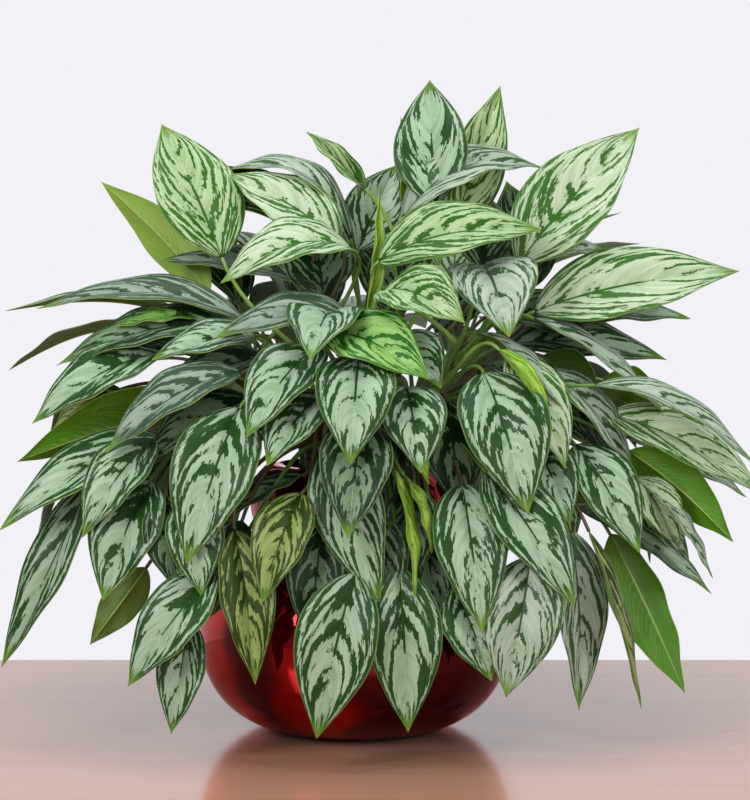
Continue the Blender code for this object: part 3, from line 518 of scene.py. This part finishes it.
blade = {
    "across": 17, "along": 46, "extra": (-0.975, 0.975, -0.03, 0.03), "thick": 0.5 * mm, "camber": 0.10,
    "wave": 1.3 * mm, "waves": (2.2, 3.4), "rib": 1.1 * mm, "ribWide": 1.6 * mm, "groove": 0.45 * mm,
    "rootBack": 0.5 * mm, "seedTurn": 97, "fineMark": 0.3,
}
tones = {
    # each tone: the silver, the green, the underside, how much more green, and 1 for many fine bands
    "mid": ((166, 191, 164), (34, 74, 28), (84, 130, 40), 0.0, 0),
    # bright: lighter, yellower colours, painted light shining through the leaf
    "bright": ((178, 202, 154), (50, 102, 16), (106, 154, 40), 0.02, 1),
    "grass": ((148, 190, 106), (30, 104, 8), (100, 150, 36), 0.03, 1),
    "fresh": ((196, 214, 184), (60, 112, 36), (116, 156, 52), 0.01, 1),
    # pale: greyer, lighter colours, a painted sheen
    "pale": ((178, 194, 176), (56, 92, 50), (100, 136, 62), 0.02, 1),
    # this tone: a darker, greyed silver, a painted grey sheen
    "grey": ((150, 168, 152), (54, 84, 54), (98, 132, 62), 0.02, 0),
    # dark: every colour darker, painted shade for leaves deep inside the plant
    "dark": ((120, 148, 116), (20, 52, 16), (58, 96, 26), 0.03, 0),
    # lime: the young leaves' own lime green, made brighter as painted light shining through them
    "lime": ((172, 206, 84), (112, 164, 40), (150, 186, 76), -0.03, 0),
    "plain": ((130, 174, 90), (54, 108, 12), (84, 142, 8), 0.02, 0),
    "olive": ((150, 166, 96), (48, 70, 18), (92, 118, 28), 0.02, 0),
}


def places(rings, first, second, third):
    # three numbers for each point, which the materials read
    made = np.zeros(rings.shape)
    made[..., 0], made[..., 1], made[..., 2] = first, second, third
    return made


def bladeSkin(one, seed):
    # A closed shell over u from -1 to 1 across and v from 0 to 1 along. Each half goes out from the midrib at
    # the fold's angle, bulges by camber 4 |u| (1 - |u|), and waves at its edge by |u|^2 sin(2 pi waves v).
    rng = np.random.default_rng(seed)
    inner = np.linspace(-1, 1, blade["across"])
    u = np.sort(np.concatenate([inner, blade["extra"]]))[None, :, None]
    v = np.linspace(0, 1, blade["along"] + 2)[1:-1] ** 0.96
    middle, side, normal, _ = (row[:, None] for row in midrib(one, v))
    half = np.maximum(halfWidth(one, v), stalkSizes["end"] * np.clip(1 - v * 12, 0, 1))[:, None, None]
    v = v[:, None, None]
    lift, spread = math.sin(one["fold"] / 2), math.cos(one["fold"] / 2)
    hand, away = np.sign(u), np.abs(u)
    off = unit(normal * spread - side * lift * hand + normal * 1e-6)
    camber = blade["camber"] * half * 4 * away * (1 - away)
    waves, phase = rng.uniform(*blade["waves"]), rng.uniform(0, 2 * np.pi, 2)
    turn = np.where(u < 0, phase[0], phase[1])
    wave = blade["wave"] * away**2 * np.sin(2 * np.pi * waves * v + turn) * np.sin(np.pi * v) ** 0.5
    near = np.exp(-((u * half / blade["ribWide"]) ** 2))
    groove = -blade["groove"] * near * (1 - v) ** 0.5
    rib = blade["rib"] * near * (1 - v) ** 0.8
    skinMiddle = middle + half * (normal * lift * away + side * spread * u) + off * (camber + wave)
    above = skinMiddle + off * (blade["thick"] / 2) + normal * groove
    below = skinMiddle - off * (blade["thick"] / 2) - normal * rib
    rings = np.concatenate([above, below[:, ::-1]], 1)
    *shown, amount, fine = tones[one["tone"]]
    silver, green, under = (colour(*each) for each in shown)
    count = u.shape[1]
    across = np.concatenate([u[..., 0], u[:, ::-1, 0]], 1)
    place = places(rings, across, v[..., 0], seed % blade["seedTurn"] + amount + blade["fineMark"] * fine)
    light = np.where(np.arange(2 * count)[None, :, None] < count, silver, under)
    columns = np.where(np.arange(2 * count) < count, 0, 1)
    base = one["base"] - unit(one["tip"] - one["base"]) * blade["rootBack"]
    return skin(rings, base, one["tip"], columns, place=place, light=light, dark=green)


# ---- stalks and canes ----

stalk = {
    "sides": 12, "rings": 22, "sheath": 2.4 * mm, "sheathLong": 0.09, "groove": 0.5 * mm, "grooveWide": 0.5,
    "past": 1 * mm,
}
cane = {
    "sides": 16, "rings": 90, "foot": 5.5 * mm, "top": 4.2 * mm, "bottom": 166.4 * mm, "slack": 1.03,
    "scar": 0.5 * mm, "scarEvery": 14 * mm, "scarWide": 0.09, "scarTurn": 0.37, "shrink": 0.25 * mm,
    "bud": 6 * mm,
}
stalkColours = {
    "green": (colour(112, 158, 62), colour(70, 112, 40)),
    "pale": (colour(150, 186, 88), colour(96, 140, 52)),
    "brown": (colour(104, 96, 48), colour(58, 48, 28)),
}
caneColours = (colour(96, 112, 58), colour(54, 50, 30))


def ringsRound(point, along, side, radius, angle):
    # circles of that radius about each point, square to its direction
    side = unit(side - along * (side * along).sum(-1, keepdims=True))
    other = np.cross(side, along)
    radius = np.broadcast_to(np.asarray(radius, float), (len(point), len(angle)))[..., None]
    turn = np.cos(angle)[:, None] * side[:, None] - np.sin(angle)[:, None] * other[:, None]
    return point[:, None] + radius * turn


def stalkSkin(one, curve, seed):
    # A tube along the Bezier curve. Its radius falls from root to end, is wider at the sheath by
    # exp(-t / sheathLong), and dips on its upper side into a shallow groove.
    t = np.linspace(0, 1, stalk["rings"]) ** 0.9
    angle = np.linspace(0, 2 * np.pi, stalk["sides"], endpoint=False)
    point, along = onCurve(curve, t)
    _, side, _, _ = midrib(one, [0.0])
    fall = stalkSizes["root"] + (stalkSizes["end"] - stalkSizes["root"]) * t
    fall = fall + stalk["sheath"] * np.exp(-t / stalk["sheathLong"])
    upper = np.exp(-(((angle - 1.5 * np.pi) / stalk["grooveWide"]) ** 2))
    radius = fall[:, None] - stalk["groove"] * upper * np.sin(np.pi * t[:, None])
    rings = ringsRound(point, along, side, radius, angle)
    # The stalk follows its leaf: brown for olive leaves and at random, and as painted shade for leaves of the
    # dark tone; pale for young lime leaves, and as painted light for bright ones.
    brown = one["tone"] in ("olive", "dark") or seed % 7 == 0
    light, dark = stalkColours["brown" if brown else "pale" if one["tone"] in ("lime", "bright") else "green"]
    place = places(rings, np.cos(angle), t[:, None], seed % blade["seedTurn"])
    first, last = point[0] - along[0] * stalk["past"], point[-1] + along[-1] * stalk["past"]
    return skin(rings, first, last, np.full(stalk["sides"], 2), place=place, light=light, dark=dark)


def caneSkin(crown, seed):
    # A tube up from the soil and over to the crown, with a raised leaf scar every scarEvery.
    foot, top = crown
    rise = np.linspace(0, 1, cane["rings"])
    straight = stalkSizes["straight"] - cane["bottom"]
    lean = np.linalg.norm(top - np.array((*foot, stalkSizes["straight"]))) * cane["slack"]
    length = rise * (straight + lean)
    leaning = np.clip((length - straight) / lean, 0, 1)
    point, along = caneHeight(crown, leaning)
    point[:, 2] -= np.clip(straight - length, 0, None)
    angle = np.linspace(0, 2 * np.pi, cane["sides"], endpoint=False)
    around = (length / cane["scarEvery"] + seed * cane["scarTurn"]) % 1
    scar = cane["scar"] * np.exp(-(((around - 0.5) / cane["scarWide"]) ** 2))
    radius = cane["foot"] + (cane["top"] - cane["foot"]) * rise + scar - cane["shrink"]
    rings = ringsRound(point, along, np.array((1.0, 0, 0))[None], radius[:, None], angle)
    place = places(rings, np.cos(angle), rise[:, None] + 2, seed)
    light, dark = caneColours
    end = point[-1] + along[-1] * cane["bud"]
    return skin(rings, point[0], end, np.full(cane["sides"], 2), place=place, light=light, dark=dark)


# ---- leaf materials ----

pattern = {
    # how far the bands slant, how they curve along the edge, and the side veins
    "lean": 0.14, "curl": 0.44, "curlPower": 2.2, "veins": 19.0, "relief": 0.4 * mm,
    # each layer: how often it changes along and across the blade, how the seed moves it, detail, roughness
    "bands": (9.5, 1.3, 1.37, 1.0, 0.5), "ragged": (30, 14, 3.3, 2.0, 0.6),
    "blots": (12, 5, 0.83, 2.0, 0.6), "teeth": (44.0, 16, 2.1, 3.0, 0.65),
    # how far the layers pull the bands out of line, and how much green each adds
    "wobblePull": 0.10, "raggedPull": 0.10, "toothShare": 0.28, "blotShare": 0.45,
    "ripples": 7.2, "rippleDrift": 7, "rippleShare": 0.075,
    # the green that the border, the base, the point, the middle and the midrib add
    "marginFrom": 0.55, "marginTo": 0.94, "border": 0.36, "base": 0.06, "point": 0.3, "heart": -0.11,
    "rib": 0.5,
    # what fine bands change in all of these
    "fineAmount": -0.35, "fineBands": 4, "fineRipple": 0.01, "fineBorder": -0.2, "finePoint": -0.2,
    "fineHeart": 0.08,
    # the thin silver line in the border: where it runs, how it strays, its width and its strength
    "line": 0.86, "lineRagged": 0.16, "lineJag": 0.22, "lineWobble": 0.10, "lineWide": (0.046, 0.022),
    "lineShare": -0.6,
    # the total from which a spot is green, and how soft that edge is
    "level": 0.52, "soft": 0.03,
}
tints = {
    "silverShade": colour(198, 218, 190), "greenShade": colour(200, 214, 186), "rim": colour(128, 160, 84),
    "paleRib": colour(196, 214, 168), "limeEnd": colour(104, 148, 40), "dryTip": colour(160, 142, 70),
    "underVein": colour(166, 200, 96), "underRib": colour(166, 196, 104), "underRim": colour(150, 180, 90),
    "stalkRoot": colour(120, 104, 58),
}


def placeParts(tree):
    parts = tree.nodes.new("ShaderNodeSeparateXYZ")
    tree.links.new(attribute(tree, "place").outputs["Vector"], parts.inputs[0])
    return parts.outputs


def ownColours(tree):
    return attribute(tree, "light").outputs["Color"], attribute(tree, "dark").outputs["Color"]


def leafCoordinates(tree):
    # the blade's numbers, with the distance from the midrib, and a slanting coordinate along the bands
    u, v, seed = placeParts(tree)
    away = maths(tree, "ABSOLUTE", u)
    curl = times(tree, maths(tree, "POWER", away, pattern["curlPower"]), pattern["curl"])
    lean = scaled(tree, away, pattern["lean"], curl)
    return u, v, seed, away, maths(tree, "SUBTRACT", v, lean)


def veinRelief(tree, u, along, away, seed):
    # side veins along the slanting coordinate, each a low ridge with a shallow valley between
    hum = noise(tree, vector(tree, times(tree, along, 5), u, seed), 3.0, 2)
    turn = scaled(tree, along, pattern["veins"] * 2 * math.pi, times(tree, hum, 7))
    ridge = times(tree, maths(tree, "COSINE", turn), 0.5)
    return times(tree, ridge, step(tree, away, 1.0, 0.75))


def layer(tree, key, along, u, seed, often=None):
    # noise over the blade with that layer's numbers, or with another number along it
    usual, across, shift, detail, roughness = pattern[key]
    often = usual if often is None else often
    where = vector(tree, times(tree, along, often), times(tree, u, across), times(tree, seed, shift))
    return noise(tree, where, 1.0, detail, roughness)


def bandTotal(tree, u, v, seed, away, along):
    # Ragged bands and ripples, with more green at the border, base, point and midrib and less in the middle,
    # and the jagged silver line taken out of the border.
    amount = maths(tree, "SUBTRACT", maths(tree, "FRACT", maths(tree, "ADD", seed, 0.5)), 0.5)
    fine = step(tree, amount, 0.1, 0.2)
    amount = scaled(tree, fine, pattern["fineAmount"], amount)
    wobble = noise(tree, vector(tree, times(tree, u, 2), times(tree, v, 4), seed), 1.5, 2)
    slant = scaled(tree, wobble, pattern["wobblePull"], along)
    ragged = maths(tree, "SUBTRACT", layer(tree, "ragged", slant, u, seed), 0.5)
    slant = scaled(tree, ragged, pattern["raggedPull"], slant)
    often = scaled(tree, fine, pattern["fineBands"], pattern["bands"][0])
    bands = layer(tree, "bands", slant, u, seed, often)
    blots = layer(tree, "blots", slant, u, seed)
    jag = maths(tree, "SUBTRACT", layer(tree, "teeth", along, u, seed), 0.5)
    drift = noise(tree, vector(tree, times(tree, slant, 3), u, seed), 1.0, 1)
    drift = times(tree, drift, pattern["rippleDrift"])
    ripple = maths(tree, "COSINE", scaled(tree, slant, pattern["ripples"] * 2 * math.pi, drift))
    bands = scaled(tree, ripple, scaled(tree, fine, pattern["fineRipple"], pattern["rippleShare"]), bands)
    total = scaled(tree, jag, pattern["toothShare"], maths(tree, "ADD", bands, amount))
    total = scaled(tree, maths(tree, "SUBTRACT", blots, 0.5), pattern["blotShare"], total)
    border = step(tree, away, pattern["marginFrom"], pattern["marginTo"])
    total = scaled(tree, border, scaled(tree, fine, pattern["fineBorder"], pattern["border"]), total)
    total = scaled(tree, step(tree, v, 0.5, 0.1), pattern["base"], total)
    point = scaled(tree, fine, pattern["finePoint"], pattern["point"])
    total = maths(tree, "ADD", times(tree, step(tree, v, 0.82, 1.0), point), total)
    heart = times(tree, step(tree, away, 0.6, 0.15), step(tree, v, 0.28, 0.6))
    total = scaled(tree, heart, scaled(tree, fine, pattern["fineHeart"], pattern["heart"]), total)
    line = scaled(tree, jag, pattern["lineJag"], scaled(tree, ragged, pattern["lineRagged"], pattern["line"]))
    line = maths(tree, "ABSOLUTE", maths(tree, "SUBTRACT", away, line))
    line = scaled(tree, maths(tree, "SUBTRACT", wobble, 0.5), pattern["lineWobble"], line)
    line = step(tree, line, *pattern["lineWide"])
    line = times(tree, line, step(tree, v, 0.95, 0.86))
    line = times(tree, line, step(tree, blots, 0.36, 0.44))
    total = scaled(tree, line, pattern["lineShare"], total)
    rib = times(tree, step(tree, away, 0.045, 0.02), step(tree, v, 0.62, 0.42))
    return scaled(tree, rib, pattern["rib"], total)


def bladeTop():
    # Silver between ragged green bands that slant out from the midrib and curve along the edge, with a green
    # border, a pale midrib towards the point, a thin pale rim and a lime end with a dry tip.
    made, tree, shader = material("leaf_upper", 0.42, Specular_IOR_Level=0.22)
    u, v, seed, away, along = leafCoordinates(tree)
    total = bandTotal(tree, u, v, seed, away, along)
    green = step(tree, total, pattern["level"], pattern["level"] + pattern["soft"])
    light, dark = ownColours(tree)
    cloud = noise(tree, vector(tree, times(tree, along, 9), u, seed), 1.7, 3)
    shade = step(tree, cloud, 0.35, 0.7)
    silverShade = blend(tree, 1.0, light, tints["silverShade"], "MULTIPLY")
    silver = blend(tree, times(tree, shade, 0.7), light, silverShade)
    vein = veinRelief(tree, u, along, away, seed)
    silver = blend(tree, times(tree, step(tree, vein, 0.25, 0.5), 0.07), silver, dark)
    greenShade = blend(tree, 1.0, dark, tints["greenShade"], "MULTIPLY")
    deep = blend(tree, times(tree, shade, 0.8), dark, greenShade)
    spread = blend(tree, green, silver, deep)
    paleRib = times(tree, step(tree, away, 0.026, 0.012), step(tree, v, 0.5, 0.7))
    spread = blend(tree, times(tree, paleRib, 0.35), spread, tints["paleRib"])
    spread = blend(tree, times(tree, step(tree, away, 0.965, 0.99), 0.55), spread, tints["rim"])
    limeEnd = times(tree, step(tree, scaled(tree, cloud, 0.05, v), 0.86, 1.0), 0.8)
    spread = blend(tree, limeEnd, spread, tints["limeEnd"])
    dryTip = step(tree, scaled(tree, cloud, 0.03, v), 0.985, 1.0)
    spread = blend(tree, dryTip, spread, tints["dryTip"])
    tree.links.new(scaled(tree, cloud, 0.14, 0.34), shader.inputs["Roughness"])
    surface(tree, shader, spread, scaled(tree, green, 0.15, vein), pattern["relief"], 0.22)
    return made


def bladeUnder():
    # Plain green with raised paler side veins and midrib.
    made, tree, shader = material("leaf_underside", 0.5, Specular_IOR_Level=0.4)
    u, v, seed, away, along = leafCoordinates(tree)
    light, dark = ownColours(tree)
    vein = veinRelief(tree, u, along, away, seed)
    cloud = noise(tree, vector(tree, times(tree, along, 8), times(tree, u, 2), seed), 1.5, 3)
    base = blend(tree, times(tree, step(tree, cloud, 0.3, 0.7), 0.4), light, dark)
    base = blend(tree, times(tree, step(tree, vein, 0.1, 0.5), 0.14), base, tints["underVein"])
    base = blend(tree, times(tree, step(tree, away, 0.06, 0.025), 0.75), base, tints["underRib"])
    base = blend(tree, step(tree, away, 0.96, 0.99), base, tints["underRim"])
    surface(tree, shader, base, vein, pattern["relief"], 0.3)
    return made


def stalkLook():
    # Smooth green flecked along its length, browner at the root.
    made, tree, shader = material("stalk", 0.42, Specular_IOR_Level=0.5)
    around, along, seed = placeParts(tree)
    fibre = noise(tree, vector(tree, times(tree, around, 6), times(tree, along, 8), seed), 2.0, 4)
    base = blend(tree, step(tree, fibre, 0.35, 0.68), *ownColours(tree))
    base = blend(tree, times(tree, step(tree, along, 0.12, 0.0), 0.5), base, tints["stalkRoot"])
    surface(tree, shader, base, fibre, 0.4 * mm, 0.4)
    return made


# ---- vase ----

vase = {
    "foot": 44 * mm, "belly": 133.5 * mm, "bellyHeight": 80 * mm, "bellyTop": 79 * mm, "neck": 68 * mm,
    "collar": 89 * mm, "mouth": 62 * mm, "height": 226 * mm, "wall": 4 * mm, "sides": 160, "steps": 26,
}
collarMiddle = (vase["bellyHeight"] + vase["bellyTop"] + vase["height"]) / 2
collarTall = (vase["height"] - vase["bellyHeight"] - vase["bellyTop"]) / 2


def quarter(count, first=0.0, last=90.0):
    return np.radians(np.linspace(first, last, count))


def vaseOutside():
    # mouth to foot: the collar is half an ellipse, the shoulder and the belly flattened quarter ellipses
    lip = vase["mouth"] + vase["wall"]
    a = quarter(2 * vase["steps"], 0, 180)
    collar = np.stack([lip + (vase["collar"] - lip) * np.sin(a), collarMiddle + collarTall * np.cos(a)], -1)
    a = quarter(vase["steps"])[1:]
    bulge = vase["belly"] - vase["neck"]
    shoulder = np.stack([vase["neck"] + bulge * np.sin(a) ** 0.9,
                         vase["bellyHeight"] + vase["bellyTop"] * np.cos(a)], -1)
    spread = vase["belly"] - vase["foot"]
    belly = np.stack([vase["foot"] + spread * np.cos(a).clip(0) ** 0.8,
                      vase["bellyHeight"] * (1 - np.sin(a))], -1)
    return np.concatenate([collar, shoulder, belly])


def vaseInside(gap, leaveOut=0):
    # the same wall's inner side from the foot up, gap further in, without the last steps at the mouth
    wall = vase["wall"]
    a = quarter(vase["steps"])
    low = wall + gap
    spread = vase["belly"] - vase["foot"]
    belly = np.stack([vase["foot"] - wall + spread * np.sin(a) ** 0.8 - gap,
                      low + (vase["bellyHeight"] - low) * (1 - np.cos(a))], -1)
    bulge = vase["belly"] - vase["neck"]
    shoulder = np.stack([vase["neck"] - wall + bulge * np.cos(a).clip(0) ** 0.9 - gap,
                         vase["bellyHeight"] + (vase["bellyTop"] - low) * np.sin(a)], -1)[1:]
    a = quarter(2 * vase["steps"], 0, 180)
    collar = np.stack([vase["mouth"] + (vase["collar"] - vase["mouth"] - wall) * np.sin(a) - gap,
                       collarMiddle - collarTall * np.cos(a)], -1)
    return np.concatenate([belly, shoulder, collar[: len(collar) - leaveOut]])


def turned(profile, sides, relief=None):
    # a profile of (radius, height) turned about the axis, closed by a point on the axis at each end
    angle = np.linspace(0, 2 * np.pi, sides, endpoint=False)
    radius, height = profile[:, 0, None], profile[:, 1, None]
    if relief is not None:
        height = height + relief(radius, angle)
    rings = np.stack([radius * np.cos(angle), -radius * np.sin(angle), height + 0 * angle], -1)
    first, last = np.array((0, 0, profile[0, 1])), np.array((0, 0, profile[-1, 1]))
    return skin(rings[::-1], last, first)


def redGlass():
    # Deep red glass that mirrors the room, with slow brighter and darker patches painted into its colour as
    # painted caustics, and a little wavy.
    made, tree, shader = material("red_glass", 0.04, Metallic=0.9, Specular_Tint=(0.85, 0.04, 0.06, 1),
                                  Coat_Weight=0.4, Coat_Roughness=0.02, Coat_IOR=1.4)
    where = objectPlace(tree)
    # slow patches of brighter and darker red: painted caustics
    painted_caustics = noise(tree, where, 9.0, 2)
    base = blend(tree, step(tree, painted_caustics, 0.44, 0.56), colour(166, 0, 10), colour(80, 0, 3))
    surface(tree, shader, base, noise(tree, where, 14.0, 1), 2 * mm, 0.06)
    return made


# ---- soil ----

soil = {
    "gap": 0.4 * mm, "leaveOut": 17, "lump": 2.2 * mm, "sides": 140, "rings": 60, "fade": 8 * mm,
    # the chips: how many, how far out, and their least and greatest size in millimetres
    "chips": 260, "chipsOut": 78 * mm, "chipSize": (2.0, 5.5), "chipRise": 0.5 * mm,
}


def soilRelief(radius, angle):
    # low lumps: a sum of sines of x and y at unlike wavelengths, fading to nothing at the wall
    x, y = radius * np.cos(angle), -radius * np.sin(angle)
    lumps = np.sin(x * 410 + 1.3 * np.sin(y * 290)) * np.cos(y * 370 + 2.1 * np.sin(x * 330))
    lumps = lumps + 0.5 * np.sin(x * 900 + y * 610) * np.cos(y * 1030 - x * 450)
    return lumps * soil["lump"] * 0.5


def crumb(rng, at, size):
    # one worn lump: a ring of six about a middle, squashed and turned at random
    angle = np.linspace(0, 2 * np.pi, 6, endpoint=False)
    rows = np.array((-0.6, 0.0, 0.6))[:, None]
    girth = np.array((0.62, 1.0, 0.62))[:, None] * rng.uniform(0.8, 1.15, (3, 6))
    rings = np.stack([girth * np.cos(angle), -girth * np.sin(angle), rows + 0 * angle], -1)
    rings = rings * rng.uniform((0.7, 0.45, 0.35), (1.3, 0.9, 0.7))
    turn = rng.normal(size=(3, 3))
    turn, _ = np.linalg.qr(turn)
    turn = turn * np.sign(np.linalg.det(turn))
    ends = np.array(((0, 0, -0.42), (0, 0, 0.42)))
    return skin(rings @ turn.T * size + at, ends[0] @ turn.T * size + at, ends[1] @ turn.T * size + at,
                light=np.full((1, 1, 3), rng.uniform(0.6, 1.4)))


def soilLook():
    # Dark damp crumbs, some browner, with a fine grain.
    made, tree, shader = material("potting_soil", 0.9, Specular_IOR_Level=0.3)
    where = objectPlace(tree)
    clods, grain = noise(tree, where, 160.0, 4, 0.65), noise(tree, where, 700.0, 3, 0.6)
    base = blend(tree, step(tree, clods, 0.35, 0.65), colour(38, 27, 20), colour(84, 62, 44))
    base = blend(tree, times(tree, step(tree, grain, 0.6, 0.72), 0.6), base, colour(128, 100, 74))
    surface(tree, shader, base, maths(tree, "ADD", clods, grain), 1.5 * mm, 0.8)
    return made


def chipLook():
    # Bark chips from tan to near black.
    made, tree, shader = material("bark_chips", 0.85, Specular_IOR_Level=0.3)
    where = objectPlace(tree)
    each = attribute(tree, "light").outputs["Fac"]
    fibre = noise(tree, where, 330.0, 4, 0.6)
    share = step(tree, times(tree, fibre, each), 0.3, 0.75)
    base = blend(tree, share, colour(52, 34, 22), colour(142, 104, 70))
    surface(tree, shader, base, fibre, 1 * mm, 0.8)
    return made


# ---- building ----

plan = dict(canes)
for name, (foot, crown, bearing, count, seed) in backCanes.items():
    plan[name] = (foot, crown, backLeaves(crown, bearing, count, seed))

leafLooks = (bladeTop(), bladeUnder(), stalkLook())
seed = 0
for name, (foot, crown, leaves) in plan.items():
    bearing = math.radians(foot[1])
    crown = ((foot[0] * cm * math.cos(bearing), foot[0] * cm * math.sin(bearing)), np.array(crown) * cm)
    skins = [caneSkin(crown, seed)]
    found = settled(crown, leaves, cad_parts[name])
    for one, curve in found:
        seed += 1
        skins += [bladeSkin(one, seed), stalkSkin(one, curve, seed)]
    piece(name.replace("cane_", "leafy_cane_"), together(skins), leafLooks, name)
    print(name, len(found), "of", len(leaves), "leaves")

wall = np.concatenate([vaseInside(0), vaseOutside()])
piece("glass_vase", turned(wall, vase["sides"]), [redGlass()], "vase", slot="red_glass")
print("vase done")

fillTo = vaseInside(soil["gap"], soil["leaveOut"])
share = np.linspace(1, 0, soil["rings"])[1:-1, None]
across = share * (fillTo[-1] * (1, 0)) + fillTo[-1] * (0, 1)
filling = np.concatenate([fillTo, across])


def surfaceOnly(radius, angle):
    # the lumps are on the open surface alone, and fade at its edge
    inward = np.clip((fillTo[-1, 0] - radius) / soil["fade"], 0, 1)
    top = np.arange(len(radius))[:, None] < len(across)
    return np.where(top, soilRelief(radius, angle) * inward, 0)


piece("soil_filling", turned(filling[::-1], soil["sides"], surfaceOnly), [soilLook()], "soil", slot="soil")
rng = np.random.default_rng(4)
crumbs = []
while len(crumbs) < soil["chips"]:
    distance, bearing = soil["chipsOut"] * math.sqrt(rng.uniform()), rng.uniform(0, 2 * math.pi)
    x, y = distance * math.cos(bearing), distance * math.sin(bearing)
    at = np.array((x, y, fillTo[-1, 1] + soilRelief(distance, -bearing) + soil["chipRise"]))
    crumbs.append(crumb(rng, at, rng.uniform(*soil["chipSize"]) * mm))
piece("soil_chips", together(crumbs), [chipLook()], slot="soil")
print("soil done")


# ---- table, light and camera ----

room = {"tableBack": 0.31, "tableWide": 3.2, "tableDeep": 1.9, "tableThick": 0.03, "dim": 0.26}


def tableTop():
    bpy.ops.mesh.primitive_cube_add(size=1)
    table = bpy.context.object
    table.name = "table_top"
    table.scale = (room["tableWide"], room["tableDeep"], room["tableThick"])
    table.location = (0, room["tableBack"] - room["tableDeep"] / 2, -room["tableThick"] / 2)
    made, tree, shader = material("pale_wood", 0.15, IOR=1.95)
    stretch = tree.nodes.new("ShaderNodeMapping")
    stretch.inputs["Scale"].default_value = (2.0, 60.0, 1.0)
    tree.links.new(objectPlace(tree), stretch.inputs["Vector"])
    grain = noise(tree, stretch.outputs[0], 3.0, 3, 0.55, 0.4)
    base = blend(tree, step(tree, grain, 0.3, 0.75), colour(196, 148, 124), colour(189, 140, 115))
    tree.links.new(base, shader.inputs["Base Color"])
    table.data.materials.append(made)
    return table


def softbox(name, place, turn, size, energy):
    light = bpy.data.lights.new(name, "AREA")
    light.shape = "RECTANGLE"
    light.size, light.size_y = size
    light.energy = energy
    item = bpy.data.objects.new(name, light)
    item.location = place
    item.rotation_euler = [math.radians(angle) for angle in turn]
    bpy.context.scene.collection.objects.link(item)
    return item


world = bpy.data.worlds.new("white_room")
world.use_nodes = True
air = world.node_tree
air.nodes["Background"].inputs["Color"].default_value = (0.88, 0.88, 0.92, 1)
# the wall behind is bright in the camera and in mirrors, and the room in front is dim
path = air.nodes.new("ShaderNodeLightPath").outputs
facing = air.nodes.new("ShaderNodeSeparateXYZ")
air.links.new(air.nodes.new("ShaderNodeTexCoord").outputs["Generated"], facing.inputs[0])
mirrored = times(air, step(air, facing.outputs["Y"], 0.0, 0.5), path["Is Glossy Ray"])
shown = maths(air, "MAXIMUM", mirrored, path["Is Camera Ray"])
strength = scaled(air, shown, 1 - room["dim"], room["dim"])
air.links.new(strength, air.nodes["Background"].inputs["Strength"])
bpy.context.scene.world = world
bpy.context.scene.view_settings.view_transform = "Standard"
table = tableTop()
lights = [
    softbox("window_left", (-1.3, -1.6, 1.3), (62, 0, -39), (0.8, 1.1), 26),
    softbox("window_right", (1.5, -1.2, 1.0), (66, 0, 51), (0.5, 0.9), 12),
    softbox("low_fill", (0.3, -2.3, 0.75), (78, 0, 7), (1.0, 0.5), 8),
    softbox("ceiling", (0, -0.2, 1.9), (0, 0, 0), (1.2, 1.0), 14),
]
sight = {"lens": 105.9, "sensor": 36, "place": (0.017, -2.0, 0.42), "tilt": 86}
lens = bpy.data.cameras.new("camera")
lens.lens, lens.sensor_width = sight["lens"], sight["sensor"]
camera = bpy.data.objects.new("camera", lens)
camera.location = sight["place"]
camera.rotation_euler = (math.radians(sight["tilt"]), 0, 0)
bpy.context.scene.collection.objects.link(camera)
bpy.context.scene.camera = camera
